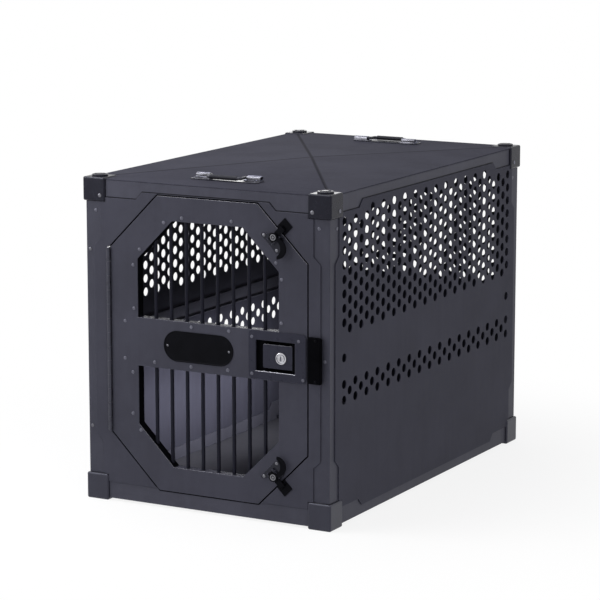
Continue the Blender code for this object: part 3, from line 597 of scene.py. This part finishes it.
# %% [markdown]
# ## Cast corners
# Each corner is a thick casting with soft edges. On top it has a turned boss, and the next kennel's
# foot sits over it when two are stacked. The CAD boss has eight sides, so it is taken off a copy of
# the casting, the hole is filled, and a boss is turned from a round bar: rim, groove and stud.

# %% Round the castings and turn their bosses
CASTING_MIDDLE = 26.5
RIM = [(1.2, 0.9), (3.4, 0.1)]
GROOVE = [(0.7, -1.6), (2.2, 0), (0.7, 1.6)]
STUD = [(1.2, 0.7), (2.2, 0.3)]
boss = round_bar("stacking_boss", 17.0, 3.4, Vector((0, 0, 1.3)) * MM, TOWARDS["up"], 48)
crown(boss, TOWARDS["up"], RIM + GROOVE + STUD)
for node in [name for name in nodes if name.startswith("casting_")]:
    piece = welded(node)
    if "top" in node:
        pick(piece, lambda centre, normal: centre.z > (HEIGHT + 0.05) * MM)
        bpy.ops.mesh.delete(type="FACE")
        bpy.ops.mesh.select_all(action="SELECT")
        bpy.ops.mesh.fill_holes(sides=8)
        clean_faces()
        close()
    break_edges(piece, 1.3, 3)
    if "top" in node:
        x = WIDTH - CASTING_MIDDLE if "right" in node else CASTING_MIDDLE
        d = LENGTH - CASTING_MIDDLE if "rear" in node else CASTING_MIDDLE
        own_boss = twin(boss, Matrix.Translation(place(x, d, HEIGHT)))
        take(piece)
        own_boss.select_set(True)
        bpy.ops.object.join()
    smooth(piece, 50)
    settle(piece, "frame", casting_paint if "top" in node else foot_paint, "casting_coat", node)
bpy.data.objects.remove(boss)
print("castings:", sum(name.startswith("casting_") for name in nodes))

# %% [markdown]
# ## Roof
# The roof is one sheet with creases from corner to corner, so that water runs off and it doesn't
# drum. A crease bends paint and light over a width of a few millimetres. The geometry has the fold,
# and the finish gets a slightly darker line of painted shade where the two diagonals are.

# %% Dress the roof
ROOF_HALF_WIDTH = HALF_WIDTH - RAIL_D
ROOF_HALF_LENGTH = LENGTH / 2 - RAIL_D
ROOF_RISE = 9.0


def crease_lines(coat):
    """A mask of painted shade: 1 on the two diagonals of the roof, 0 a few millimetres beside them.
    """
    x = coat.coordinate("X") / (ROOF_HALF_WIDTH * MM)
    y = coat.coordinate("Y") - MIDDLE_Y * MM
    off = abs(abs(x) - abs(y / (ROOF_HALF_LENGTH * MM)))
    return coat.ramp(off, 0.021, 0.005)


# The roof's coat darkens along both diagonals: a painted shade in the creases.
roof_paint = powder_coat("roof_powder_coat", (0.041, 0.041, 0.055), 0.75, specular=0.02,
                         darker=crease_lines, depth=0.4)
dress("roof_panel", roof_paint, "panel_coat", 0.5)

# %% [markdown]
# ## Perforated panels
# The side and rear sheets are punched with 19 mm holes in staggered columns. In the CAD each hole
# has four sides. Here its walls are deleted and the gaps filled, which gives a plain sheet and,
# as a by-product, the middle of every hole. Then round punches cut them all in one Boolean. The
# rear sheet's inner face lies in the dark, and the photograph shows it nearly black, so it gets
# the bars' near-black coat as a painted shade.

# %% Punch the round holes
HOLE_R = 9.5
HOLE_SIDES = 20
CLEAR_OF_ENDS = 15.0
CLEAR_OF_FOOT = 45.0
CLEAR_OF_TOP = 11.0


def perforated(node, axis):
    """The sheet of a CAD node with round holes in place of its four-sided ones."""
    piece = welded(node, clean=False)
    low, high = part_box(node)
    across = 0 if abs(axis.x) > 0.5 else 1
    along = 1 - across
    ends = (low[along] + CLEAR_OF_ENDS * MM, high[along] - CLEAR_OF_ENDS * MM)
    levels = (low.z + CLEAR_OF_FOOT * MM, high.z - CLEAR_OF_TOP * MM)

    def hole_wall(centre, normal):
        sloping = abs(abs(normal[along]) - abs(normal.z)) < 0.05 and abs(normal[across]) < 0.1
        return sloping and ends[0] < centre[along] < ends[1] and levels[0] < centre.z < levels[1]

    pick(piece, hole_wall)
    bpy.ops.mesh.delete(type="FACE")
    bpy.ops.mesh.select_all(action="SELECT")
    bpy.ops.mesh.fill_holes(sides=4)
    close()
    spots = [Matrix.Translation(face.center) for face in piece.data.polygons
             if face.normal.dot(axis) > 0.9 and len(face.vertices) == 4]
    pick(piece, lambda centre, normal: True)
    clean_faces()
    close()
    punch = round_bar("punch", HOLE_R, 10, (0, 0, 0), axis, HOLE_SIDES)
    combine(piece, copies(punch, spots), "DIFFERENCE")
    return piece, len(spots)


for side in ("left", "right", "rear"):
    node = f"{side}_panel"
    piece, count = perforated(node, TOWARDS[side])
    settle(piece, "frame", side_paint, "panel_coat", node)
    if side == "rear":
        # The rear sheet's inner face gets the bars' near-black coat as a painted shade.
        repaint(piece, bar_and_shade_paint, lambda centre, normal: normal.y < -0.9)
    print(node, "has", count, "holes and", len(piece.data.polygons), "faces")

# %% [markdown]
# ## Door bars
# Eight round bars run from the lower window's edge to the upper one's, behind the latch's band. A
# bar is a round bar primitive. The two outer pairs end on the sloping edges of the windows, so
# both ends are bisected there.

# %% Cut the door bars to length
WINDOW_X = (130.0, 464.0)
WINDOW_Z = (90.0, 607.0)
WINDOW_CHAMFER = 84.0
BAR_D = 14.7
BAR_R = 4.0
BAR_GAP = 0.3
BAR_LENGTH = WINDOW_Z[1] - WINDOW_Z[0] - 2 * BAR_GAP


def trimmed(piece, spot, outwards):
    """Cuts off what lies beyond a plane and closes the cut."""
    pick(piece, lambda centre, normal: True)
    bpy.ops.mesh.bisect(plane_co=spot, plane_no=outwards, use_fill=True, clear_outer=True)
    close()


for k in range(1, 9):
    node = f"door_bar_{k}"
    low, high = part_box(node)
    middle = (low + high) / 2
    window_side, lean = (WINDOW_X[0], -1) if k <= 4 else (WINDOW_X[1], 1)
    bar = round_bar(f"{node}_round", BAR_R, BAR_LENGTH,
                    (middle.x, middle.y, sum(WINDOW_Z) / 2 * MM), TOWARDS["up"], 16)
    if k in (1, 2, 7, 8):
        back_by = WINDOW_CHAMFER + 2 * BAR_GAP
        trimmed(bar, place(window_side, BAR_D, WINDOW_Z[1] - back_by), (lean, 0, 1))
        trimmed(bar, place(window_side, BAR_D, WINDOW_Z[0] + back_by), (lean, 0, -1))
    smooth(bar)
    settle(bar, "door", bar_and_shade_paint, "bar_coat", node)
print("door bars are", BAR_LENGTH, "mm high at the middle")

# %% [markdown]
# ## Piano hinge
# A piano hinge is two long leaves whose edges are rolled into knuckles round one pin, a knuckle of
# the frame's leaf next to one of the door's. The CAD knuckles have six sides. A row of round
# barrels is joined to a copy of each leaf, and the bore is drilled through them.

# %% Roll the knuckles round
HINGE_X = 61.0
HINGE_Z = (153.0, 542.0)
KNUCKLES = 13
KNUCKLE_R, BORE_R, PIN_R = 4.06, 1.6, 1.3
pitch = (HINGE_Z[1] - HINGE_Z[0]) / KNUCKLES
hinge_middle = place(HINGE_X, 0, sum(HINGE_Z) / 2)
for leaf, first in (("hinge_leaf_frame", 0), ("hinge_leaf_door", 1)):
    piece = welded(leaf)
    barrel = round_bar("barrel", KNUCKLE_R, pitch - 0.3, (0, 0, 0), TOWARDS["up"], 24)
    break_edges(barrel, 0.5, 2)
    heights = [HINGE_Z[0] + (k + 0.5) * pitch for k in range(first, KNUCKLES, 2)]
    copies(barrel, [Matrix.Translation(place(HINGE_X, 0, z)) for z in heights])
    combine(piece, barrel, "UNION")
    drill = round_bar("drill", BORE_R, 420, hinge_middle, TOWARDS["up"], 16)
    combine(piece, drill, "DIFFERENCE")
    smooth(piece)
    settle(piece, BODY_OF[leaf], hinge_paint, "hinge_coat", leaf)
    print(leaf, "has", len(heights), "knuckles")
pin = round_bar("hinge_pin_turned", PIN_R, 390, hinge_middle, TOWARDS["up"], 16)
for way in ("up", "down"):
    crown(pin, TOWARDS[way], [(0.3, 0.35), (0.4, 0.15)])
smooth(pin)
settle(pin, BODY_OF["hinge_pin"], steel, "bright_steel", "hinge_pin")

# %% [markdown]
# ## Door gap
# A 3 mm gap runs round the door. Behind it lies a thin near-black strip, a painted shade that makes
# the gap read as an even dark line, as the shadow in a deep gap does. It is an octagonal sheet with
# an octagonal hole, cut short above and below the door, where only a narrow lip goes on, and left
# open where the hinge is. The door presses a tenth of a millimetre into that lip.

# %% Lay the strip of painted shade
DOOR_X = (65.0, 529.0)
DOOR_Z = (38.0, 657.0)
DOOR_CHAMFER = 114.0
GAP_SHADE_D = (4.72, 4.97)
LIP_D = (4.6, 4.9)
CUTTER_D = (4, 6)


def octagon(name, grown_by, d):
    """A sheet with the door's outline, grown evenly, whose four corners are bevelled off."""
    x = (DOOR_X[0] - grown_by, DOOR_X[1] + grown_by)
    z = (DOOR_Z[0] - grown_by, DOOR_Z[1] + grown_by)
    sheet = block(name, x, d, z)
    chamfer = DOOR_CHAMFER + (2 - math.sqrt(2)) * grown_by
    bevel_where(sheet, lambda centre, direction: abs(direction.y) > 0.9, chamfer)
    return sheet


# A near-black strip behind the door gap: a painted shade.
gap_shade_strip = octagon("door_gap_shade_strip", 11, GAP_SHADE_D)
for z, way in ((DOOR_Z[1] - 5, 1), (DOOR_Z[0] + 5, -1)):
    trimmed(gap_shade_strip, place(0, 0, z), (0, 0, way))
combine(gap_shade_strip, octagon("gap_shade_lip", 2.6, LIP_D), "UNION")
combine(gap_shade_strip, octagon("gap_shade_opening", -0.9, CUTTER_D), "DIFFERENCE")
hinge_room = block("hinge_room", (40, 90), CUTTER_D, (HINGE_Z[0] - 3, HINGE_Z[1] + 3))
combine(gap_shade_strip, hinge_room, "DIFFERENCE")
settle(gap_shade_strip, "frame", gap_shade_black, "black_rubber")

# %% [markdown]
# ## Paddle latch
# The latch is a flush zinc housing whose cup has a rolled mouth. A paddle lies in the cup, with a
# finger gap at its left, and a turned lock plug in its face. The mouth and the paddle's rim are
# rolled, so both get a round bevel, and the lower lip and the paddle's upper edge, which face up,
# get bright bare metal as a painted highlight. No light reaches the inside of the cup, so it and
# the paddle's right end and back get a near-black painted shade.

# %% Housing and paddle
RECESS_X = (412.0, 501.0)
RECESS_Z = (317.0, 380.0)
CUP_D = 2.5
PADDLE_FRONT, PADDLE_RIM = 4.0, 5.8
PADDLE_X = 492.0
KEY = (469.0, 346.0)


def at_depth(d, margin=0.05):
    """A test for points that lie at one depth behind the front."""
    y = (d - FRONT) * MM
    return lambda centre: abs(centre.y - y) < margin * MM


housing = welded("latch_housing")
on_face = at_depth(0.2)
low_corner = place(RECESS_X[0] - 0.2, 0, RECESS_Z[0] - 0.2)
high_corner = place(RECESS_X[1] + 0.2, 0, RECESS_Z[1] + 0.2)


def mouth(centre, direction):
    inside = low_corner.x < centre.x < high_corner.x and low_corner.z < centre.z < high_corner.z
    return inside and on_face(centre)


bevel_where(housing, mouth, 2.6, 4)
break_edges(housing, 0.45, 2)
smooth(housing)
settle(housing, "door", latch_paint, "latch_coat", "latch_housing")
# Painted shade inside the cup, and a painted highlight on its lower lip.
repaint(housing, shade_black, lambda centre, normal: centre.y > (CUP_D - FRONT) * MM)
repaint(housing, lip_highlight_metal, lambda centre, normal: centre.y < (CUP_D - FRONT) * MM
        and normal.z > 0.3 and abs(centre.z - RECESS_Z[0] * MM) < 1 * MM)

paddle = welded("latch_paddle")
on_paddle = at_depth(PADDLE_FRONT)
plug_middle = place(KEY[0], PADDLE_FRONT, KEY[1])
pivot_end = place(PADDLE_X + 4, 0, 0).x


def rim(centre, direction):
    clear_of_plug = (centre - plug_middle).length > 11 * MM
    return on_paddle(centre) and clear_of_plug and abs(centre.x - pivot_end) > 5 * MM


bevel_where(paddle, rim, 1.5, 3)
smooth(paddle)
settle(paddle, "paddle", latch_paint, "latch_coat", "latch_paddle")
face_end = place(PADDLE_X, PADDLE_RIM, 0)
# Painted shade on the paddle's right end and back, and a painted highlight on its upper edge.
repaint(paddle, shade_black, lambda centre, normal: centre.x > face_end.x or centre.y > face_end.y)
repaint(paddle, lip_highlight_metal, lambda centre, normal: normal.z > 0.3 and centre.z > 365 * MM
        and centre.x < face_end.x and centre.y < face_end.y)
dress("latch_bolt", steel, "bright_steel", 0.5)

# %% [markdown]
# The lock plug is turned from bright bar: a head with a rounded rim, a groove, and a flat core with
# the keyway. It starts as a round bar, its front cap gets rings, its back cap is inset and pushed
# back into the cup, and a thin block cuts the keyway.

# %% Lock plug
plug = round_bar("key_plug_turned", 12, 2.0, place(KEY[0], 2.7, KEY[1]), TOWARDS["front"], 48)
crown(plug, TOWARDS["front"], [(0.5, 0.35), (0.6, 0.15), (1.0, 0.0), (0.3, -1.9), (1.5, 0.0),
                               (0.3, 1.8), (0.7, 0.1)])
crown(plug, TOWARDS["rear"], [(3.2, 0.0), (0.02, 11.2)])
keyway = block("keyway", (KEY[0] - 1.5, KEY[0] + 1.5), (0, 7), (KEY[1] - 5, KEY[1] + 5))
combine(plug, keyway, "DIFFERENCE")
smooth(plug)
settle(plug, "key", steel, "bright_steel", "key_plug")

# %% [markdown]
# The strike guard is a block of black plastic that the bolt's nose meets. Its corners are already
# cut in the CAD, and a finer bevel makes them round.

# %% Strike guard
guard = welded("strike_guard")
break_edges(guard, 1.3, 3, 20)
smooth(guard)
settle(guard, "frame", guard_plastic, "black_rubber", "strike_guard")

# %% [markdown]
# ## Nameplate
# A black plate with round ends is fixed on the band beside the latch. It is left bare. A block is
# given its round ends by a bevel as wide as half its height, and an inset leaves a raised rim.

# %% Bare nameplate
SKIN_D = 2.68
nameplate = block("nameplate", (193, 358), (1.3, SKIN_D - 0.02), (316, 380))
bevel_where(nameplate, lambda centre, direction: abs(direction.y) > 0.9, 31.9, 14)
pick(nameplate, lambda centre, normal: normal.y < -0.9)
bpy.ops.mesh.inset(thickness=2.2 * MM, depth=0)
bpy.ops.mesh.inset(thickness=0.5 * MM, depth=-0.55 * MM)
close()
break_edges(nameplate, 0.25, 2)
smooth(nameplate)
settle(nameplate, "door", plate_black, "black_rubber")

# %% [markdown]
# ## Butterfly latches
# A butterfly latch draws a hook over a keeper when its wing is turned. The base is a stamped plate
# with two guides, and hook, wing and keeper are black. The wing is a crescent: a round slab, less a
# second one beside it. The upper wing is modelled, and the lower one is its mirror image. The other
# parts are CAD copies with rounder edges.

# %% Wing, hub and base
HUB = (457.0, 594.0)
LOW_HUB = (456.0, 101.0)
WING_D = (-8.3, -5.6)
CUT_D = (-10, -4)
mirror_down = (Matrix.Translation(place(LOW_HUB[0], 0, LOW_HUB[1])) @ Matrix.Scale(-1, 4, (0, 0, 1))
               @ Matrix.Translation(-place(HUB[0], 0, HUB[1])))


def disc(name, x, z, r, d, sides=48):
    """A flat round slab that faces forwards, between two depths."""
    return round_bar(name, r, d[1] - d[0], place(x, sum(d) / 2, z), TOWARDS["front"], sides)


wing = disc("wing_slab", 465, 571, 21, WING_D, 64)
combine(wing, disc("wing_hollow", 455, 571.5, 18.5, CUT_D, 64), "DIFFERENCE")
combine(wing, block("wing_cut", (430, 465), CUT_D, (540, 600)), "DIFFERENCE")
combine(wing, disc("wing_root", *HUB, 9.4, WING_D, 40), "UNION")
combine(wing, block("wing_neck", (460, 470), WING_D, (588, 592.5)), "UNION")
break_edges(wing, 0.7, 3, 30)
smooth(wing)

hub = disc("wing_hub", *HUB, 6.6, (-8.9, -4.4), 32)
crown(hub, TOWARDS["front"], [(0.7, 0.1), (1.6, 0.0), (0.5, -0.8), (1.0, 0.0), (0.4, 0.7),
                              (1.0, 0.1)])
smooth(hub)
for part, finish, slot, node in ((wing, fitting_black, "black_rubber", "butterfly_wing_{}"),
                                 (hub, hub_metal, "bright_steel", None)):
    low_part = twin(part, mirror_down)
    part.name, low_part.name = f"{part.name}_upper", f"{part.name}_lower"
    for which, made in (("upper", part), ("lower", low_part)):
        stands_for = [node.format(which)] if node else []
        settle(made, f"wing_{which}", finish, slot, *stands_for)
for which, way in (("upper", 1), ("lower", -1)):
    base = welded(f"butterfly_base_{which}")
    hub_z = (HUB if which == "upper" else LOW_HUB)[1]
    trimmed(base, place(0, 0, hub_z + 6.5 * way), (0, 0, way))
    trimmed(base, place(HUB[0] + 19, 0, 0), (1, 0, 0))
    break_edges(base, 0.8, 3)
    smooth(base)
    settle(base, "door", base_satin, "latch_coat", f"butterfly_base_{which}")
    dress(f"butterfly_hook_{which}", fitting_black, "black_rubber", 0.8, 2, True)
    dress(f"butterfly_keeper_{which}", fitting_black, "black_rubber", 0.45, 2, True)
print("wings are", round(WING_D[1] - WING_D[0], 1), "mm thick")

# %% [markdown]
# ## Roof handles
# A folding handle is a plate with two clamps, and a bent rod with a rubber grip that folds between
# them. The handle is modelled in a frame of its own, with z upwards from the roof, and two copies
# are laid on the slopes of the roof.

# %% Plate and clamps
PLATE = (158.0, 36.0, 2.0)
LUG_X = (44.0, 76.0)
ROD_Y, ROD_Z, ROD_R = 9.0, 7.4, 3.0
GRIP_Y, GRIP_R = -15.0, 4.4
SEAT_D, SEAT_Z = 95.0, 685.39
slope = math.atan2(ROOF_RISE, ROOF_HALF_LENGTH)
front_seat = Matrix.Translation(place(HALF_WIDTH, SEAT_D, SEAT_Z)) @ Matrix.Rotation(slope, 4, "X")
turn_round = Matrix.Translation((0, 2 * MIDDLE_Y * MM, 0)) @ Matrix.Rotation(math.pi, 4, "Z")
SEATS = {"front": front_seat, "rear": turn_round @ front_seat}

plate = block("handle_plate", (-79, 79), (-18, 18), (0, PLATE[2]), local=True)
bevel_where(plate, lambda centre, direction: abs(direction.z) > 0.9, 6, 5)
break_edges(plate, 0.6, 2)
clamp = block("clamp", LUG_X, (ROD_Y - 7, ROD_Y + 7), (PLATE[2] - 0.4, 11.6), local=True)
bevel_where(clamp, lambda centre, direction: abs(direction.x) > 0.9 and centre.z > 11 * MM,
            5.5, 6)
foot = block("clamp_foot", (LUG_X[0] - 5, LUG_X[1] + 1), (ROD_Y - 10, ROD_Y + 8), (1.8, 3.4),
             local=True)
combine(clamp, foot, "UNION")
bore_middle = Vector((60, ROD_Y, ROD_Z)) * MM
bore = round_bar("clamp_bore", ROD_R + 0.3, 60, bore_middle, TOWARDS["right"], 24)
combine(clamp, bore, "DIFFERENCE")
break_edges(clamp, 0.5, 2, 40)
smooth(clamp)
smooth(plate)
clamps = copies(clamp, [Matrix.Identity(4), Matrix.Scale(-1, 4, (1, 0, 0))])
clamps.name = "handle_clamps"

# %% [markdown]
# The bail is bent as a wire is bent: a ring of points is extruded along each straight, and at each
# corner it is spun through a quarter turn about the middle of the bend.

# %% Bend the bail
BEND_R = 6.0


def bent_rod(name, r, path, bend_r):
    """A rod in the plane of x and y that follows a path with round corners."""
    points = [Vector((x, y, ROD_Z)) for x, y in path]
    heading = (points[1] - points[0]).normalized()
    turn = Vector((0, 0, 1)).rotation_difference(heading).to_euler()
    bpy.ops.mesh.primitive_circle_add(vertices=16, radius=r * MM, fill_type="NGON",
                                      location=points[0] * MM, rotation=turn)
    rod = named(name)
    bpy.ops.object.mode_set(mode="EDIT")
    bpy.ops.mesh.select_all(action="SELECT")
    at = points[0]
    for k in range(1, len(points)):
        last = k == len(points) - 1
        straight = (points[k] - at).length - (0 if last else bend_r)
        step = heading * straight * MM
        bpy.ops.mesh.extrude_region_move(TRANSFORM_OT_translate={"value": step})
        at = at + heading * straight
        if not last:
            onwards = (points[k + 1] - points[k]).normalized()
            left = heading.cross(onwards).z
            centre = at + onwards * bend_r
            bpy.ops.mesh.spin(steps=6, angle=-left * math.pi / 2, center=centre * MM,
                              axis=(0, 0, 1))
            at = points[k] + onwards * bend_r
            heading = onwards
    bpy.ops.mesh.select_all(action="SELECT")
    bpy.ops.mesh.remove_doubles(threshold=0.01 * MM)
    bpy.ops.mesh.normals_make_consistent(inside=False)
    close()
    return rod


arm = LUG_X[0] - ROD_R - 1
ROD_END = 68
route = [(-ROD_END, ROD_Y), (-arm, ROD_Y), (-arm, GRIP_Y), (arm, GRIP_Y), (arm, ROD_Y),
         (ROD_END, ROD_Y)]
bail = bent_rod("handle_bail", ROD_R, route, BEND_R)
smooth(bail)
grip_middle = Vector((0, GRIP_Y, ROD_Z)) * MM
grip = round_bar("handle_grip", GRIP_R, 2 * (arm - 8), grip_middle, TOWARDS["right"], 24)
for way in ("left", "right"):
    crown(grip, TOWARDS[way], [(0.8, 0.5)])
smooth(grip)
low_bail = min(vertex.co.y for vertex in bail.data.vertices)
print("bail reaches back to", round(low_bail / MM, 1), "mm from the plate's middle")
for end, seat in SEATS.items():
    settle_at = ((plate, "frame", base_satin, "latch_coat", [f"handle_base_{end}"]),
                 (clamps, "frame", clamp_metal, "bright_steel", []),
                 (bail, f"handle_{end}", rod_black, "grip_black", [f"handle_bail_{end}"]),
                 (grip, f"handle_{end}", grip_rubber, "grip_black", []))
    for part, body, finish, slot, stands_for in settle_at:
        made = twin(part, seat)
        made.name = f"{part.name}_{end}"
        settle(made, body, finish, slot, *stands_for)
for part in (plate, clamps, bail, grip):
    bpy.data.objects.remove(part)

# %% [markdown]
# ## Rivets and screws
# Blind rivets hold the sheets to the frame, and small screws the latch and the guard. A rivet has a
# low dome with a dimple, where its stem broke off, and a screw has a socket. Each kind is turned
# once at the origin, facing forwards, and copied to all its places as one mesh.

# %% Turn the rivets and screws and set them
DOOR_RIVETS = [(136, 543), (120, 509), (121, 418), (195, 603), (238, 615), (355, 617), (458, 541),
               (471, 508), (470, 419), (259, 391), (348, 391), (99, 390), (98, 311), (170, 309),
               (258, 308), (345, 310), (117, 283), (116, 195), (135, 161), (491, 311)]
DOME = [(0.7, 0.45), (0.9, 0.3), (0.9, 0.1), (0.35, -0.4)]
SOCKET = [(0.5, 0.4), (1.5, 0.1), (0.25, -0.7)]
LATCH_D, GUARD_D, PLATE_D, BASE_D = 0.2, -5.98, 1.9, 0.45


def turned(side):
    """The turn of a head from the front to another side."""
    return TOWARDS["front"].rotation_difference(TOWARDS[side]).to_matrix().to_4x4()


def facing(side, x, d, z):
    """The place of a fastener whose head faces one side of the kennel."""
    return Matrix.Translation(place(x, d, z)) @ turned(side)


def in_front(d, *spots):
    """Places on the front, all at one depth."""
    return [facing("front", x, d, z) for x, z in spots]


def all_round(d, from_side, end_z, from_end, side_z):
    """Two places on each of the four sides, at a depth behind the castings' faces."""
    spots = []
    for x in (from_side, WIDTH - from_side):
        spots += [facing("front", x, d, end_z), facing("rear", x, LENGTH - d, end_z)]
    for along in (from_end, LENGTH - from_end):
        spots += [facing("left", d, along, side_z), facing("right", WIDTH - d, along, side_z)]
    return spots


def set_heads(name, r, rings, spots, body, finish, slot):
    """Turns one head and copies it to its places as one mesh."""
    head = round_bar(name, r, 0.8, Vector((0, -0.4, 0)) * MM, TOWARDS["front"], 16)
    crown(head, TOWARDS["front"], rings)
    smooth(head, 50)
    settle(copies(head, spots), body, finish, slot)


set_heads("door_rivets", 3.7, DOME, in_front(SKIN_D, *DOOR_RIVETS), "door", rivet_paint,
          "panel_coat")
set_heads("casting_rivets", 4.2, DOME, all_round(0, 42, 649, 37, 650), "frame", rivet_metal,
          "bright_steel")
beside_guard = in_front(RAIL_D, (568, 349))
set_heads("post_rivets", 3.7, DOME, beside_guard + all_round(RAIL_D, 29, 617, 34, 615), "frame",
          rivet_paint, "frame_coat")
set_heads("post_bolts", 3.6, SOCKET, in_front(RAIL_D, (14, 534), (13, 157)), "frame", rivet_metal,
          "bright_steel")
latch_corners = [(511, 386), (521, 307), (403, 386), (403, 310)]
set_heads("latch_screws", 3.4, SOCKET, in_front(LATCH_D, *latch_corners), "door", rivet_paint,
          "latch_coat")
set_heads("guard_screws", 3.0, SOCKET, in_front(GUARD_D, (552, 392), (552, 308)), "frame",
          fitting_black, "black_rubber")
set_heads("nameplate_screws", 2.4, SOCKET, in_front(PLATE_D, (202.5, 348), (348.5, 348)), "door",
          rivet_metal, "bright_steel")
for end, seat in SEATS.items():
    spots = [seat @ Matrix.Translation(Vector((x, -12, PLATE[2] - 0.05)) * MM) @ turned("up")
             for x in (-72, 72)]
    set_heads(f"handle_screws_{end}", 3.0, SOCKET, spots, "frame", rivet_metal, "bright_steel")
uppers = in_front(BASE_D, (461.0, 566.5), (431.5, 596.0))
lowers = [mirror_down @ spot for spot in uppers]
set_heads("butterfly_rivets", 3.4, DOME, uppers + lowers, "door", rivet_metal, "bright_steel")
print("door rivets:", len(DOOR_RIVETS))

# %% [markdown]
# ## Light, floor and camera
# The kennel stands on a pale floor in a white studio. The world and the floor are white for the
# camera and for reflections, and softer for the light that falls on the kennel. Near the kennel
# the floor is partly real paint, which keeps its shadow.

# %% Floor
FLOOR_FADE = (0.45, 1.2)
NEAR_GLOW = 0.84


def ray(finish, *kinds):
    """1 where the ray that asks is of one of these kinds."""
    found = 0.0
    for kind in kinds:
        found = finish.node("ShaderNodeLightPath", {}, {}, kind) + found
    return found


bpy.ops.mesh.primitive_circle_add(vertices=96, radius=9.0, fill_type="NGON", location=(0, 0, 0))
floor = bpy.context.object
floor.name = "studio_floor"
floor_paint = Finish("studio_floor_white", Base_Color=(0.86, 0.86, 0.87, 1.0), Roughness=0.7)
spread = floor_paint.node("ShaderNodeVectorMath", {"operation": "LENGTH"},
                          {0: floor_paint.here()}, "Value")
fade = floor_paint.ramp(spread, *FLOOR_FADE, NEAR_GLOW, 1.0)
seen = ray(floor_paint, "Is Camera Ray", "Is Glossy Ray", "Is Transmission Ray")
glow = floor_paint.node("ShaderNodeEmission", {}, {"Color": (1, 1, 1, 1), "Strength": 1.0})
mixed = floor_paint.node("ShaderNodeMixShader", {}, {0: fade * seen, 2: glow})
floor_paint.tree.links.new(floor_paint.shader.outputs[0], mixed.socket.node.inputs[1])
output = floor_paint.tree.nodes["Material Output"]
floor_paint.tree.links.new(mixed.socket, output.inputs["Surface"])
floor.data.materials.append(floor_paint.material)

# %% [markdown]
# Rays from the camera, reflections and rays through glass see a white world. The light that it
# sheds on the paint is about half as strong, so that dark paint stays dark. Softboxes at the
# left, above and at the right model the shapes, three small ones draw thin bright lines on the
# rounded edges, and a weak lamp inside shows the cabin through the lower window.

# %% World and lamps
WORLD_LIGHT = 0.48
world = bpy.data.worlds.new("white_studio")
bpy.context.scene.world = world
world.use_nodes = True
tree = world.node_tree
path = tree.nodes.new("ShaderNodeLightPath")
white = path.outputs["Is Camera Ray"]
for kind in ("Is Glossy Ray", "Is Transmission Ray"):
    either = tree.nodes.new("ShaderNodeMath")
    either.operation = "MAXIMUM"
    tree.links.new(white, either.inputs[0])
    tree.links.new(path.outputs[kind], either.inputs[1])
    white = either.outputs[0]
level = tree.nodes.new("ShaderNodeMapRange")
level.inputs["To Min"].default_value = WORLD_LIGHT
level.inputs["To Max"].default_value = 1.0
tree.links.new(white, level.inputs["Value"])
background = tree.nodes["Background"]
background.inputs["Color"].default_value = (1.0, 1.0, 1.0, 1.0)
tree.links.new(level.outputs[0], background.inputs["Strength"])


def softbox(name, at, aim, size, power):
    """A square lamp that faces a point of the kennel. The camera doesn't see it."""
    lamp = bpy.data.lights.new(name, "AREA")
    lamp.shape = "SQUARE"
    lamp.size = size
    lamp.energy = power
    made = added(name, lamp)
    made.location = at
    made.rotation_euler = (Vector(aim) - Vector(at)).to_track_quat("-Z", "Y").to_euler()
    made.visible_camera = False
    return made


softbox("top_softbox", (-0.9, -0.7, 2.8), (0, 0, 0.4), 2.0, 38)
softbox("key_softbox", (-1.15, -1.35, 1.0), (-0.1, -0.4, 0.35), 0.8, 10.5)
softbox("side_softbox", (2.6, -0.9, 1.3), (0.29, -0.3, 0.4), 1.2, 15)
softbox("edge_softbox", (-1.5, -1.0, 2.9), (0, -0.4, 0.4), 0.5, 18)
softbox("corner_softbox", (1.4, -1.85, 2.7), (0, -0.4, 0.4), 0.3, 4)
softbox("rim_softbox", (-1.7, 3.0, 1.4), (0, 0, 0.6), 0.5, 2.5)
fill = softbox("cabin_fill", (0.05, -0.03, 0.20), (-0.29, 0.01, 0.14), 0.6, 1.5)
fill.data.shape = "RECTANGLE"
fill.data.size_y = 0.1
fill.data.spread = math.radians(75)
fill.visible_glossy = False

# %% [markdown]
# The camera's place, aim and lens were worked out from the eight corners of the photographed
# kennel: a long lens from about six metres away, 29 degrees to the right and 11 degrees up. The
# focal length was found in pixels of a picture 600 pixels wide, and is turned into millimetres.

# %% Camera
AZIMUTH = math.radians(28.74)
ELEVATION = math.radians(10.52)
DISTANCE, TO_LEFT, UPWARDS = 5757.6, 24.97, 33.07
FOCAL_PIXELS, PICTURE_PIXELS, SENSOR = 2625, 600, 36.0
back = Vector((math.sin(AZIMUTH) * math.cos(ELEVATION),
               -math.cos(AZIMUTH) * math.cos(ELEVATION), math.sin(ELEVATION)))
right = Vector((math.cos(AZIMUTH), math.sin(AZIMUTH), 0))
up = back.cross(right)
middle = Vector((0, MIDDLE_Y, HEIGHT / 2)) * MM
spot = middle + (back * DISTANCE - right * TO_LEFT + up * UPWARDS) * MM
lens = bpy.data.cameras.new("long_lens")
lens.sensor_width = SENSOR
lens.lens = FOCAL_PIXELS / PICTURE_PIXELS * SENSOR
lens.clip_end = 60.0
camera = added("camera", lens)
camera.matrix_world = Matrix.Translation(spot) @ Matrix((right, up, back)).transposed().to_4x4()
bpy.context.scene.camera = camera
bpy.context.scene.view_settings.view_transform = "Standard"
print("camera at", [round(v, 3) for v in spot])
